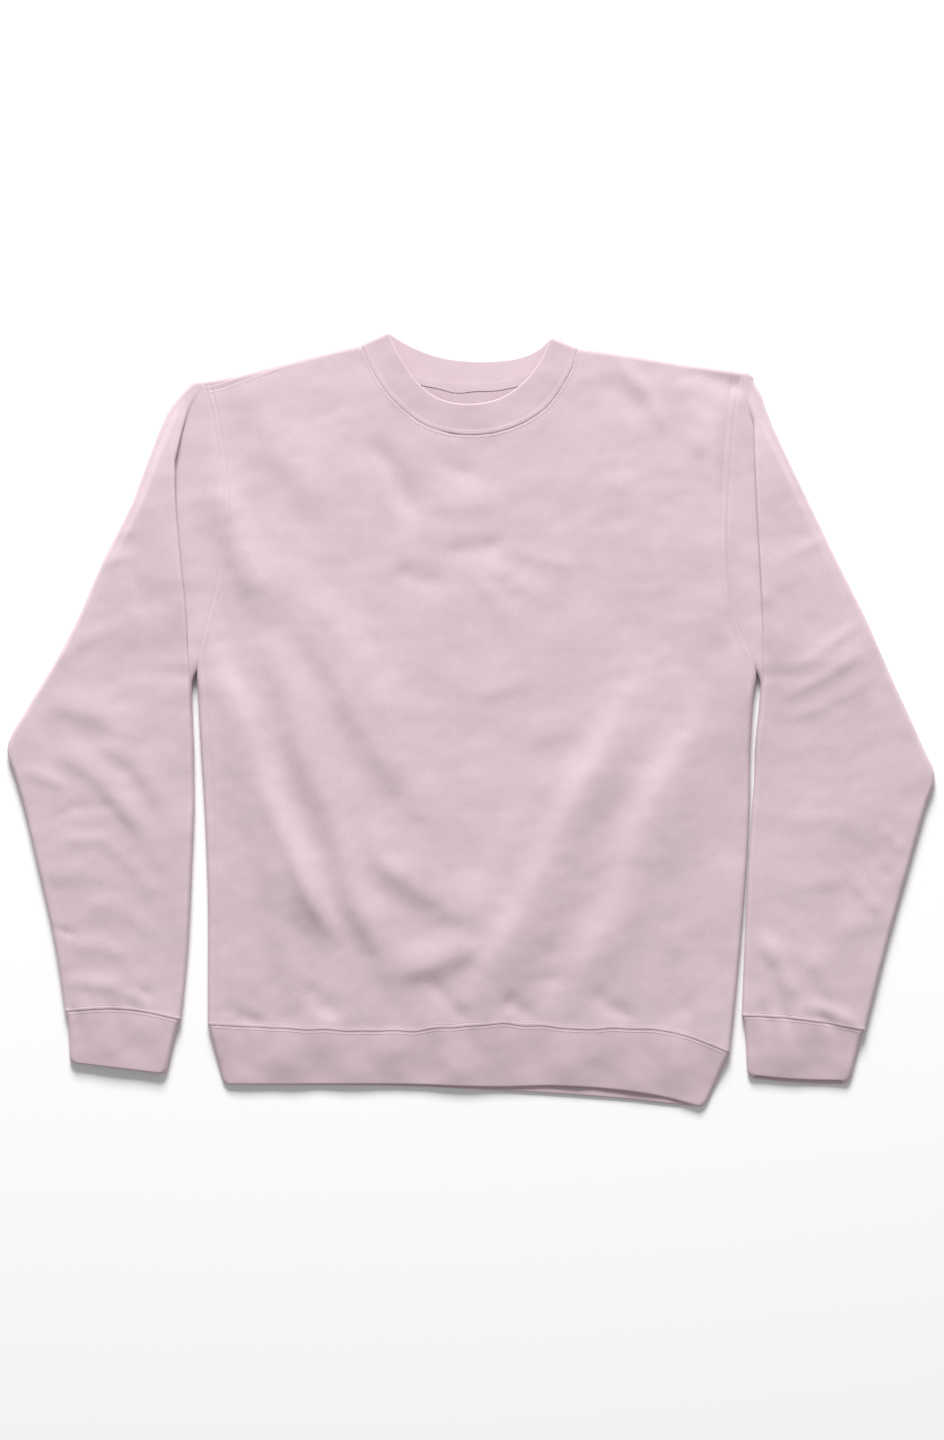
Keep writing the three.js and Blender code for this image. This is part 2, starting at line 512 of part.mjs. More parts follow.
// A point of the sleeve's section: out is measured from the body towards the outer edge
function sectionPoint(section, column) {
  let left = column;
  let zone = SLEEVE_ZONES[0];
  for (zone of SLEEVE_ZONES) {
    if (left <= zone.steps) {
      break;
    }
    left -= zone.steps;
  }
  const share = left / zone.steps;
  const { side, outerX, outerCentre, foldX, foldCentre, flapEnd, seamX, open } = section;
  const yAt = (x, level = 1) => {
    const across = THREE.MathUtils.clamp((x - outerX) / (foldX - outerX), 0, 1);
    const bow = (section.bow * (1 + level)) / 2;
    return mix(section.outerY, section.innerY, across) + bow * Math.sin(Math.PI * across);
  };
  const crown = (x) => {
    const y = yAt(x);
    const fade = Math.exp(-(((x - foldX) / FLAP_FADE) ** 2));
    return frontHeight(x, y) + section.rise * open * fade * smooth(0, 3 * EDGE, Math.abs(x - outerX));
  };
  if (zone.name === "underside edge") {
    const edge = turnedEdge(share);
    const closed = { x: foldX + side * edge.inset, z: mix(MIDDLE, LOW, edge.level) };
    const opened = { x: seamX + side * EDGE * share, z: LOW };
    const x = mix(closed.x, opened.x, open);
    return new THREE.Vector3(x, yAt(x, -1), mix(closed.z, opened.z, open));
  }
  if (zone.name === "underside") {
    const start = mix(foldX, seamX, open) + side * EDGE;
    const x = mix(start, outerCentre, share);
    return new THREE.Vector3(x, yAt(x, -1), LOW);
  }
  if (zone.name === "outer edge") {
    const angle = mix(-Math.PI / 2, Math.PI / 2, share);
    const x = outerCentre + side * EDGE * Math.cos(angle);
    const top = crown(outerCentre);
    return new THREE.Vector3(x, yAt(x, Math.sin(angle)), mix(LOW, top, (1 + Math.sin(angle)) / 2));
  }
  if (zone.name === "flap") {
    const x = mix(outerCentre, foldCentre, share);
    return new THREE.Vector3(x, yAt(x), crown(x));
  }
  const stepsRound = share * zone.steps + (zone.name === "cap" ? PLEAT_STEPS : 0);
  const edge = turnedEdge(1 - stepsRound / (PLEAT_STEPS + CAP_STEPS));
  const closed = { x: foldX + side * edge.inset, z: mix(MIDDLE, crown(foldCentre), edge.level) };
  const flat = pleatPlace(zone.name === "pleat" ? share : 1, section.pleat);
  const foldedX = flapEnd - side * flat.forward;
  const openedX = zone.name === "pleat" ? foldedX : mix(foldedX, seamX, share);
  const base = frontHeight(openedX, section.innerY);
  const lift = crown(foldCentre) - frontHeight(flapEnd, section.innerY);
  const openedZ = base + lift * (1 - flat.down / section.rise);
  const y = mix(yAt(closed.x, edge.level), section.innerY, open);
  return new THREE.Vector3(mix(closed.x, openedX, open), y, mix(closed.z, openedZ, open));
}

// Sleeve: one cut piece wrapped round the arm, with its underarm seam at the inner edge, open to
// the armhole above that, and folded in a pleat over the cloth beside the armhole
function sleeve(name, arm) {
  const rowPlaces = sleeveRows(arm);
  const rowAt = (row) => {
    const below = Math.min(Math.floor(row), rowPlaces.length - 2);
    const a = rowPlaces[below];
    const b = rowPlaces[below + 1];
    const share = row - below;
    if (a.y !== null && b.y !== null) {
      return { y: mix(a.y, b.y, share), forearm: 0 };
    }
    return { y: null, forearm: mix(a.forearm, b.forearm, share) };
  };
  const geometry = clothWall({
    columns: SLEEVE_ZONES.reduce((sum, zone) => sum + zone.steps, 0),
    rows: rowPlaces.length - 1,
    point: (column, row) => sectionPoint(armSection(arm, rowAt(row)), column),
  });
  return piece(name, geometry, CLOTH_COLOUR);
}

// Flattened ring, as of a cuff: top layer across, turned edge, bottom layer back, turned edge
function ringPlace(column, topSteps, bottomSteps) {
  const arcSteps = 2 * ARC_STEPS;
  const total = topSteps + bottomSteps + 2 * arcSteps;
  const place = ((column % total) + total) % total;
  if (place < topSteps) {
    return { across: place / topSteps, out: 0, level: 1 };
  }
  if (place < topSteps + arcSteps) {
    const angle = ((place - topSteps) / arcSteps) * Math.PI;
    return { across: 1, out: Math.sin(angle), level: Math.cos(angle) };
  }
  if (place < topSteps + arcSteps + bottomSteps) {
    return { across: 1 - (place - topSteps - arcSteps) / bottomSteps, out: 0, level: -1 };
  }
  const angle = ((place - topSteps - arcSteps - bottomSteps) / arcSteps) * Math.PI;
  return { across: 0, out: -Math.sin(angle), level: -Math.cos(angle) };
}

// Wall of a band at one place of its ring, between two ends of its width
function ringPoint(place, from, to, plan) {
  const direction = Math.sign(to - from);
  const x = mix(from + direction * EDGE, to - direction * EDGE, place.across) + direction * EDGE * place.out;
  const y = plan(x, place.level);
  const top = frontHeight(x, y);
  return new THREE.Vector3(x, y, mix(LOW, top, (1 + place.level) / 2));
}

// Cuff: a closed rib band, narrower at its free edge, whose back layer shows a little below
function cuff(name, arm) {
  const prefix = arm.side < 0 ? "left" : "right";
  const geometry = clothWall({
    columns: 2 * CUFF_STEPS + 4 * ARC_STEPS,
    rows: BAND_ROWS,
    ring: true,
    point: (column, row) => {
      const place = ringPlace(column, CUFF_STEPS, CUFF_STEPS);
      const down = row / BAND_ROWS;
      const outerX = mix(read(ARMS, "y", arm.seam.outerY, `${prefix}Outer`), arm.edge.outerX, down);
      const innerX = mix(read(ARMS, "y", arm.seam.innerY, `${prefix}Fold`), arm.edge.innerX, down);
      const plan = (x, level) => {
        const across = THREE.MathUtils.clamp((x - outerX) / (innerX - outerX), 0, 1);
        const seamY = mix(arm.seam.outerY, arm.seam.innerY, across)
          + (arm.seam.bow * Math.sin(Math.PI * across) * (1 + level)) / 2 - SEAM_GAP;
        const edgeY = mix(arm.edge.outerY, arm.edge.innerY, across)
          + arm.edge.bow * Math.sin(Math.PI * across) - (arm.edge.backDrop * (1 - level)) / 2;
        return mix(seamY, edgeY, down);
      };
      return ringPoint(place, outerX, innerX, plan);
    },
  });
  return piece(name, geometry, RIB_COLOUR);
}

// Hem band: a closed rib band, its back layer hanging lower than its front towards the right
function hemBand() {
  const frontSteps = 2 * (SHOULDER_STEPS + CORNER_STEPS) + FRONT_NECK_STEPS;
  const backSteps = 2 * (BACK_SHOULDER_STEPS + CORNER_STEPS) + BACK_NECK_STEPS;
  const geometry = clothWall({
    columns: frontSteps + backSteps + 4 * ARC_STEPS,
    rows: BAND_ROWS,
    ring: true,
    point: (column, row) => {
      const raw = ringPlace(column, frontSteps, backSteps);
      const edgeShare = EDGE / PANEL_WIDTH;
      const panelShare = raw.level === 1
        ? panelPlace(ARC_STEPS + raw.across * frontSteps, SHOULDER_STEPS, FRONT_NECK_STEPS, NECK_SEAM_LENGTH).share
        : mix(edgeShare, 1 - edgeShare, raw.across);
      const place = { ...raw, across: (panelShare - edgeShare) / (1 - 2 * edgeShare) };
      const down = row / BAND_ROWS;
      const plan = (x, level) => {
        const from = mix(HEM_LEFT.x, HEM_EDGE_LEFT_X, down);
        const to = mix(HEM_RIGHT.x, HEM_EDGE_RIGHT_X, down);
        const share = THREE.MathUtils.clamp((x - from) / (to - from), 0, 1);
        const isFront = (1 + level) / 2;
        const seamY = mix(hemSeam(share, false)[1], hemSeam(share, true)[1], isFront) - SEAM_GAP;
        const edgeY = mix(read(HEM, "share", share, "backEdge"), read(HEM, "share", share, "frontEdge"), isFront);
        return mix(seamY, edgeY, down);
      };
      return ringPoint(place, mix(HEM_LEFT.x, HEM_EDGE_LEFT_X, down), mix(HEM_RIGHT.x, HEM_EDGE_RIGHT_X, down), plan);
    },
  });
  return piece("hem_band", geometry, RIB_COLOUR);
}

// Collar: a rib band sewn round the neck, folded flat at its two ends, its back half lower down
function collar() {
  const frontColumns = FRONT_NECK_STEPS + 2 * CORNER_STEPS;
  const backColumns = BACK_NECK_STEPS + 2 * CORNER_STEPS;
  const columns = frontColumns + backColumns;
  const geometry = clothWall({
    columns,
    rows: BAND_ROWS,
    ring: true,
    point: (column, row) => {
      const wrapped = ((column % columns) + columns) % columns;
      const isFront = wrapped < frontColumns;
      const place = isFront
        ? neckPlace(wrapped, FRONT_NECK_STEPS, NECK_SEAM_LENGTH)
        : neckPlace(columns - wrapped, BACK_NECK_STEPS, BACK_SEAM_LENGTH);
      const at = (name) => read(NECK, "share", place.share, name);
      const seam = new THREE.Vector2(at(isFront ? "seamX" : "backX"), at(isFront ? "seamY" : "backY"));
      const rim = new THREE.Vector2(at(isFront ? "rimX" : "topX"), at(isFront ? "rimY" : "topY"));
      const gap = SEAM_GAP + HALF_GAP + CORNER_GAP * (1 - place.level ** 3);
      const gapShare = gap / seam.distanceTo(rim);
      const plan = seam.lerp(rim, mix(gapShare, 1, row / BAND_ROWS));
      const flat = isFront ? frontHeight(plan.x, plan.y) : LOW;
      return new THREE.Vector3(plan.x, plan.y, mix(MIDDLE, flat, place.level));
    },
  });
  return piece("collar", geometry, RIB_COLOUR);
}

// Neck tape: a narrow strip that covers the back neck seam inside, lying on the back panel
function neckTape() {
  const geometry = clothWall({
    columns: TAPE_STEPS,
    rows: 1,
    thickness: TAPE_THICKNESS,
    point: (column, row) => {
      const share = mix(TAPE_FROM, TAPE_TO, column / TAPE_STEPS);
      const x = read(NECK, "share", share, "backX");
      const y = read(NECK, "share", share, "backY") - 1 - row * TAPE_WIDTH;
      return new THREE.Vector3(x, y, LOW + (WALL + TAPE_THICKNESS) / 2 + SEAM_GAP);
    },
  });
  return piece("neck_tape", geometry, TAPE_COLOUR);
}

const sweatshirt = new THREE.Group();
sweatshirt.add(
  bodyPanel("front_panel", true),
  bodyPanel("back_panel", false),
  sleeve("sleeve_left", SLEEVES.left),
  sleeve("sleeve_right", SLEEVES.right),
  cuff("cuff_left", SLEEVES.left),
  cuff("cuff_right", SLEEVES.right),
  hemBand(),
  collar(),
  neckTape(),
);

export default sweatshirt;
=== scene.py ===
from collections import namedtuple

import bpy
import numpy as np
from numpy import concatenate, cos, pi, sin
from mathutils.bvhtree import BVHTree
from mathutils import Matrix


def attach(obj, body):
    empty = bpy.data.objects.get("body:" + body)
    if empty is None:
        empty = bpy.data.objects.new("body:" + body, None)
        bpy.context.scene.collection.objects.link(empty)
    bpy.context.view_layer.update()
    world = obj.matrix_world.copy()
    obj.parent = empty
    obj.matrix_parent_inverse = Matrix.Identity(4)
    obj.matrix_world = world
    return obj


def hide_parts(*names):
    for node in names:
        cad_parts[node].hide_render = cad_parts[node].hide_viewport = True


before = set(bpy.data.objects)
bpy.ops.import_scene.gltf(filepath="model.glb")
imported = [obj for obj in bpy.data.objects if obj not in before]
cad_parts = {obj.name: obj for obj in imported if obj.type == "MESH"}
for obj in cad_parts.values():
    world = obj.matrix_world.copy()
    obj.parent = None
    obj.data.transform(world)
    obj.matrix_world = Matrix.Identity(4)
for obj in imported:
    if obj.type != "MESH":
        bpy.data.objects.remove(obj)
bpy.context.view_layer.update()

# Studio: the garment lies face up on a white table, seen from straight above, as in the
# photograph. One wide soft light stands low at the collar's end, and the pale room fills the rest.
MM = 0.001
PHOTO_TALL_MM = 1339.2
PHOTO_CENTRE_MM = (0.93, -0.93)
CAMERA_HEIGHT = 4.0
CLOTH_HEIGHT = 0.01
FILM = 36.0


def add_object(name, data):
    """A new object of the scene, at the origin."""
    thing = bpy.data.objects.new(name, data)
    bpy.context.collection.objects.link(thing)
    return thing


def set_inputs(node, **values):
    """Sets a node's inputs. Their names are written with _ for a space."""
    for name, value in values.items():
        node.inputs[name.replace("_", " ")].default_value = value


def new_material(name, **values):
    """A material with its main shader, which gets its plain values."""
    material = bpy.data.materials.new(name)
    material.use_nodes = True
    surface = material.node_tree.nodes["Principled BSDF"]
    set_inputs(surface, **values)
    return material, surface


camera_data = bpy.data.cameras.new("camera")
camera_data.sensor_width = FILM
camera_data.lens = FILM * (CAMERA_HEIGHT - CLOTH_HEIGHT) / (PHOTO_TALL_MM * MM)
camera = add_object("camera", camera_data)
camera.location = (PHOTO_CENTRE_MM[0] * MM, PHOTO_CENTRE_MM[1] * MM, CAMERA_HEIGHT)
bpy.context.scene.camera = camera
bpy.context.scene.view_settings.view_transform = "Standard"

TABLE_SIZE = 8
TABLE_GAP = 0.0004
bpy.ops.mesh.primitive_plane_add(size=TABLE_SIZE, location=(0, 0, -TABLE_GAP))
table = bpy.context.object
table.name = "table"
table.data.materials.append(new_material("table_paint", Base_Color=(0.93, 0.93, 0.93, 1), Roughness=0.9)[0])

light_data = bpy.data.lights.new("window_light", "AREA")
light_data.shape = "SQUARE"
light_data.size = 2.1
light_data.energy = 560
light = add_object("window_light", light_data)
light.location = (-0.3, 5.1, 2.85)
light.rotation_euler = light.location.to_track_quat("Z", "Y").to_euler()
world = bpy.data.worlds.new("pale_room")
world.use_nodes = True
set_inputs(world.node_tree.nodes["Background"], Color=(1, 0.995, 0.99, 1), Strength=0.375)
bpy.context.scene.world = world

# Front and back panels: two pieces of brushed-back fleece cut to the body's shape. They are sewn
# together at the sides and shoulders, and at rest they lie on each other with soft drag folds.
WALL = 2.2
AIR = 5.0
LOW = WALL / 2
HIGH = LOW + WALL + AIR
MIDDLE = (LOW + HIGH) / 2
EDGE = (HIGH - LOW) / 2
UNDERARM_Y = 42
UNDERARM_BLEND = 12
PANEL_WIDTH = 492
PANEL_HEIGHT = 598
NECK_FROM, NECK_TO = 0.3, 0.7
FRONT_NECK_LENGTH = 262
BACK_NECK_LENGTH = 214
HEM_LEFT = (-244, -284)
HEM_RIGHT = (240, -310)

Side = namedtuple("Side", "y left right")
BODY_EDGES = [
    Side(-310, -244, 240),
    Side(-240, -244, 247),
    Side(-168, -244, 253),
    Side(-85, -247, 258),
    Side(-20, -251, 259.5),
    Side(20, -253, 262),
    Side(42, -254, 264.5),
    Side(60, -252.5, 260),
    Side(90, -245, 246),
    Side(130, -235, 240),
    Side(180, -230, 238.5),
    Side(232, -233, 241),
    Side(286, -241, 245.5),
    Side(323, -251, 251),
]
Shoulder = namedtuple("Shoulder", "share left_x left_y right_x right_y")
SHOULDERS = [
    Shoulder(0, -249, 314.5, 251, 323),
    Shoulder(0.3, -215, 320.5, 204, 329.5),
    Shoulder(0.65, -155, 336, 149, 338.5),
    Shoulder(1, -101.5, 348.5, 98.5, 345.5),
]
Neck = namedtuple("Neck", "share seam_x seam_y rim_x rim_y back_x back_y top_x top_y")
NECK = [
    Neck(0, -101.5, 348.5, -77, 360, -101.5, 348.5, -77, 360),
    Neck(0.125, -92, 326, -66, 337, -83, 334.5, -60, 349.5),
    Neck(0.25, -73, 298.5, -50, 313.5, -58, 322, -41, 341),
    Neck(0.375, -42, 274, -28, 297.5, -32, 314.5, -20, 335.5),
    Neck(0.5, -3, 265, 0, 293, -2, 311.5, 1, 333.5),
    Neck(0.625, 36, 271, 28, 299, 30, 314, 22, 333.5),
    Neck(0.75, 69, 290, 50, 314.5, 56, 322, 43, 336),
    Neck(0.875, 91, 322, 66, 336, 80, 333.5, 61, 343),
    Neck(1, 98.5, 345.5, 75, 355, 98.5, 345.5, 75, 355),
]
Hem = namedtuple("Hem", "share seam front_edge back_edge")
HEM = [
    Hem(0, -284, -340, -340.5),
    Hem(0.12, -287, -340, -341),
    Hem(0.37, -290, -340, -342),
    Hem(0.57, -283.5, -342.5, -346),
    Hem(0.7, -288, -341.5, -349),
    Hem(0.86, -289, -347, -354.5),
    Hem(0.93, -296.5, -352.5, -358),
    Hem(1, -310, -360.7, -361),
]

# Each fold is an arc through three points: a ridge that falls away over one width on its left,
# looking along it, and another on its right. Its widths end at a share of their size.
Fold = namedtuple("Fold", "from_x from_y mid_x mid_y to_x to_y height left right end", defaults=[1])
FOLDS = [Fold(*row) for row in (
    (-262, 126, -190, -70, -120, -218, 8, 13, 27, 0.95),
    (-206, -36, -170, -120, -118, -218, 1.9, 12, 7, 0.9),
    (-200, 106, -140, -66, -64, -276, 6.6, 19, 15, 0.85),
    (-248, 310, -222, 190, -168, 76, 3.8, 14, 20),
    (-216, 222, -116, 26, -8, -140, 3.6, 30, 17, 1.1),
    (-108, -92, -38, -160, 40, -200, 3.8, 28, 15, 0.9),
    (-84, -244, -36, -226, 26, -206, 3.8, 20, 14),
    (183, 76, 83, -114, -13, -300, 6.8, 30, 19),
    (232, 40, 158, -122, 84, -300, 6.2, 32, 20),
    (222, 316, 232, 150, 260, -70, 4.5, 10, 20, 1.2),
    (-196, -90, -178, -190, -160, -284, 2.6, 14, 14),
    (-330, 120, -290, -60, -292, -236, 2.4, 30, 26),
    (-366, -20, -312, -40, -278, -104, 2.1, 15, 10, 0.9),
    (-394, -30, -346, -54, -292, -126, 2.5, 14, 9, 0.9),
    (-404, 22, -352, 4, -296, -14, 2.2, 20, 11, 0.9),
    (-396, -150, -370, -142, -332, -152, 1.2, 12, 9),
    (-382, -246, -335, -248, -294, -264, 1.6, 9, 8),
    (270, -190, 285, -230, 300, -262, 2.2, 10, 8, 0.9),
    (396, -158, 350, -200, 300, -244, 1.6, 18, 13, 0.9),
    (306, 210, 339, 50, 318, -240, 3, 38, 34),
    (-300, 230, -352, 60, -340, -200, 2.2, 38, 38),
)]
# Smaller creases and dents between the folds. A height below zero is a trough.
CREASES = [Fold(*row) for row in (
    (-90, 274, -72, 226, -46, 172, -2.3, 13, 12),
    (-66, 190, -20, 199, 44, 188, 0.9, 17, 12),
    (-30, 158, 4, 157, 34, 166, -0.9, 7, 8),
    (-76, 142, -46, 130, -18, 136, -1.1, 10, 9),
    (-40, 240, -20, 230, 4, 222, -0.8, 9, 9),
    (8, 154, 36, 128, 76, 104, 0.8, 8, 8, 1.3),
    (-2, 150, 20, 112, 44, 72, 0.7, 8, 7, 1.3),
    (22, 164, 62, 150, 104, 146, 0.7, 8, 7, 1.3),
    (-170, 150, -110, 60, -60, -20, 1.4, 20, 14),
    (190, 322, 205, 288, 212, 232, 1.4, 7, 9),
    (132, 340, 158, 306, 180, 264, 1.3, 8, 9),
    (-236, 322, -184, 262, -128, 176, 2, 22, 14),
    (196, 330, 226, 318, 254, 308, -2.2, 10, 10),
    (104, 320, 138, 302, 170, 278, -1.1, 14, 13),
    (-236, -262, -216, -276, -188, -284, -1.5, 8, 8),
    (-160, -238, -144, -262, -118, -280, -1.6, 9, 8),
    (-38, -236, -22, -262, 4, -278, -1.7, 8, 8),
    (70, -196, 76, -226, 74, -256, -1.2, 10, 9),
    (30, -250, 48, -268, 74, -280, -1.5, 9, 8),
    (110, -246, 130, -266, 160, -280, -1.4, 9, 8),
    (196, -210, 188, -250, 194, -290, -1.1, 12, 11),
    (208, 20, 230, -70, 246, -160, -2, 16, 14),
    (-120, -40, -96, -100, -66, -160, 1.4, 14, 13),
    (70, -40, 30, -130, -20, -200, 1.4, 18, 16),
    (180, 80, 192, 20, 206, -50, 1.2, 12, 13),
    (-40, 60, 10, 30, 70, 40, 0.7, 12, 10),
    (10, 0, 60, -14, 110, 4, 0.6, 12, 10),
    (-230, 230, -220, 170, -206, 110, 1.2, 12, 10),
    (150, 220, 168, 160, 176, 90, 0.8, 14, 12),
    (-318, 196, -310, 140, -292, 84, -1.6, 22, 18),
    (-352, 152, -330, 168, -304, 172, 0.7, 5, 5),
    (-360, 132, -336, 146, -306, 148, 0.6, 5, 5),
    (-390, 40, -360, 72, -320, 86, 0.9, 9, 8),
    (-330, -250, -310, -252, -290, -262, -1.2, 6, 6),
    (-392, -190, -380, -198, -366, -202, -0.8, 4, 3),
    (-392, -108, -362, -112, -330, -112, 1, 7, 7),
    (-396, -92, -360, -82, -326, -88, -0.9, 7, 6),
    (-424, -40, -404, -52, -372, -58, 1, 6, 6),
    (-344, -110, -318, -140, -300, -176, 0.8, 10, 8),
    (-364, -170, -330, -180, -296, -204, 0.8, 9, 8),
    (-380, -214, -346, -212, -310, -224, 0.8, 7, 7),
    (300, -262, 338, -272, 366, -286, 1.8, 6, 6),
    (292, 46, 330, 70, 372, 98, 0.7, 6, 5),
    (280, 16, 322, 38, 372, 70, 0.7, 6, 5),
    (284, -4, 330, 14, 384, 44, 0.7, 8, 5),
    (256, 76, 308, 62, 366, 34, 2.6, 30, 34),
    (286, 150, 320, 166, 346, 178, 0.5, 6, 5),
    (300, 214, 316, 226, 328, 232, 0.5, 5, 5),
    (376, -92, 388, -112, 404, -124, 0.9, 7, 6),
    (366, -112, 380, -138, 398, -148, -0.9, 7, 6),
    (356, -140, 370, -168, 390, -180, 0.8, 7, 6),
    (290, -90, 322, -100, 360, -92, 0.8, 11, 10),
    (286, -150, 316, -156, 350, -150, 0.6, 9, 9),
    (310, -216, 326, -236, 336, -262, 0.8, 8, 7),
)]
FOLD_SAMPLES = 22
FOLD_START_TAPER = 0.34
FOLD_END_TAPER = 0.25
FOLD_WANDER = 3.7


def mix(start, end, share):
    return start + (end - start) * share


def smooth(start, end, value):
    share = np.clip((value - start) / (end - start), 0, 1)
    return share * share * (3 - 2 * share)


def read(table, value, column):
    """A column of a table at any value of its first one, on a smooth curve through its rows."""
    keys = np.array([row[0] for row in table], float)
    heights = np.array([getattr(row, column) for row in table], float)
    if keys[0] > keys[-1]:
        keys, heights = keys[::-1], heights[::-1]
    secants = np.diff(heights) / np.diff(keys)
    slopes = concatenate([secants[:1], (secants[1:] + secants[:-1]) / 2, secants[-1:]])
    value = np.clip(np.asarray(value, float), keys[0], keys[-1])
    i = np.clip(np.searchsorted(keys, value), 1, len(keys) - 1)
    span = keys[i] - keys[i - 1]
    t = (value - keys[i - 1]) / span
    start = heights[i - 1] * (2 * t**3 - 3 * t**2 + 1) + slopes[i - 1] * (t**3 - 2 * t**2 + t) * span
    return start + heights[i] * (3 * t**2 - 2 * t**3) + slopes[i] * (t**3 - t**2) * span


def wander(x, y):
    """Places moved a few millimetres by slow waves, so that no fold runs straight as a rule."""
    move_x = sin(x / 61 + y / 43 + 0.7) + sin(y / 23 - x / 71 + 1.1) + 0.5 * sin(x / 17 + y / 19)
    move_y = sin(x / 47 - y / 66 + 2.3) + sin(x / 26 + y / 53 + 0.4) + 0.5 * sin(y / 16 - x / 21)
    return x + FOLD_WANDER * move_x / 2, y + FOLD_WANDER * move_y / 2


def fold_height(fold, x, y):
    """Height of one fold over points of the plan."""
    bend_x = 2 * fold.mid_x - (fold.from_x + fold.to_x) / 2
    bend_y = 2 * fold.mid_y - (fold.from_y + fold.to_y) / 2
    t = np.linspace(0, 1, FOLD_SAMPLES + 1)
    line_x = (1 - t) ** 2 * fold.from_x + 2 * t * (1 - t) * bend_x + t**2 * fold.to_x
    line_y = (1 - t) ** 2 * fold.from_y + 2 * t * (1 - t) * bend_y + t**2 * fold.to_y
    along_x, along_y = np.diff(line_x), np.diff(line_y)
    from_x, from_y = x[..., None] - line_x[:-1], y[..., None] - line_y[:-1]
    share = np.clip((from_x * along_x + from_y * along_y) / (along_x**2 + along_y**2), 0, 1)
    away_x, away_y = from_x - along_x * share, from_y - along_y * share
    distance = np.hypot(away_x, away_y)
    segment = np.argmin(distance, axis=-1)[..., None]
    nearest = np.take_along_axis(distance, segment, -1)[..., 0]
    side = np.take_along_axis(along_x * away_y - along_y * away_x, segment, -1)[..., 0]
    place = (np.take_along_axis(share, segment, -1) + segment)[..., 0] / FOLD_SAMPLES
    width = np.where(side > 0, fold.left, fold.right) * mix(2 - fold.end, fold.end, place)
    beat = 1 + 0.16 * sin(7 * place + fold.from_x) + 0.1 * sin(17 * place + fold.to_y)
    taper = smooth(0, FOLD_START_TAPER, place) * smooth(0, FOLD_END_TAPER, 1 - place)
    return fold.height * beat * taper * np.exp(-((nearest / width) ** 2))


UNEVEN_WAVES = 90
UNEVEN_SEED = 11
UNEVEN_MM = 0.21


def unevenness(x, y):
    """The cloth's slight waviness: many faint waves at all angles, more of them across the body."""
    rng = np.random.default_rng(UNEVEN_SEED)
    total = np.zeros(x.shape)
    for _ in range(UNEVEN_WAVES):
        length = 14 * 6 ** rng.uniform(0, 1)
        angle = rng.normal(pi / 2, 0.9)
        phase = rng.uniform(0, 2 * pi)
        along = x * cos(angle) + y * sin(angle)
        across = y * cos(angle) - x * sin(angle)
        patch = 1 + sin(across / (1.3 * length) + 3 * phase)
        total += (length / 40) * patch * sin(2 * pi * along / length + phase)
    return UNEVEN_MM * total / np.sqrt(UNEVEN_WAVES)


def front_height(x, y):
    """Middle of the front layer's wall over points of the plan."""
    x, y = np.broadcast_arrays(np.asarray(x, float), np.asarray(y, float))
    total = HIGH + unevenness(x, y)
    moved_x, moved_y = wander(x, y)
    for fold in FOLDS + CREASES:
        total = total + fold_height(fold, moved_x, moved_y)
    return total


def puckers(along, from_seam, height, reach):
    """Uneven gathers where cloth is eased into a seam: they fade away from it."""
    waves = sin(along / 3.1) + sin(along / 5.3 + 1.9) + 0.8 * sin(along / 8.7 + 0.6)
    patch = 0.6 + 0.4 * sin(along / 37 + 2.2)
    return height * patch * waves * np.exp(-from_seam / reach) / 2


def armhole_open(y):
    return smooth(UNDERARM_Y - UNDERARM_BLEND, UNDERARM_Y + UNDERARM_BLEND, y)


def turned_edge(share):
    """Inset and level round a turned edge: level 0 at its side, 1 where the layer is flat."""
    angle = np.asarray(share) * pi / 2
    return EDGE * (1 - cos(angle)), sin(angle)


def panel_top(share, is_front):
    left, right = share / NECK_FROM, (1 - share) / (1 - NECK_TO)
    around = (share - NECK_FROM) / (NECK_TO - NECK_FROM)
    place = []
    for axis in ("x", "y"):
        neck = read(NECK, around, ("seam_" if is_front else "back_") + axis)
        shoulder_left = read(SHOULDERS, left, "left_" + axis)
        shoulder_right = read(SHOULDERS, right, "right_" + axis)
        rest = np.where(share > NECK_TO, shoulder_right, neck)
        place.append(np.where(share < NECK_FROM, shoulder_left, rest))
    return place


HEM_WAVE_MM = 0.6
BACK_NECK_LIFT = 1.1
BACK_LIFT_REACH = 20


def hem_seam(share, front_share):
    straight = mix(HEM_LEFT[1], HEM_RIGHT[1], share)
    wave = HEM_WAVE_MM * sin(pi * share) * (sin(58 * share + 1) + 0.8 * sin(91 * share))
    return mix(straight, read(HEM, share, "seam") + wave, front_share)


def back_lift(from_seam):
    """How far the neck seam holds the back layer up, at a distance below it."""
    return BACK_NECK_LIFT * np.exp(-((from_seam / BACK_LIFT_REACH) ** 2))


def panel_plan(across, up, is_front):
    """Plan of a panel, blended between its four edges."""
    left_y = mix(HEM_LEFT[1], SHOULDERS[0].left_y, up)
    right_y = mix(HEM_RIGHT[1], SHOULDERS[0].right_y, up)
    left = (read(BODY_EDGES, left_y, "left"), left_y)
    right = (read(BODY_EDGES, right_y, "right"), right_y)
    top = panel_top(across, is_front)
    bottom = (mix(HEM_LEFT[0], HEM_RIGHT[0], across), hem_seam(across, float(is_front)))
    first, last = SHOULDERS[0][1:3], SHOULDERS[0][3:5]
    place = []
    for axis in (0, 1):
        corners = mix(mix(HEM_LEFT[axis], HEM_RIGHT[axis], across), mix(first[axis], last[axis], across), up)
        edges = mix(bottom[axis], top[axis], up) + mix(left[axis], right[axis], across)
        place.append(edges - corners)
    return place


CLOTH_STEP = 3.3
FINE_STEP = 1.0
FINE_REACH = 14
LINE_WIDTH = 1.2
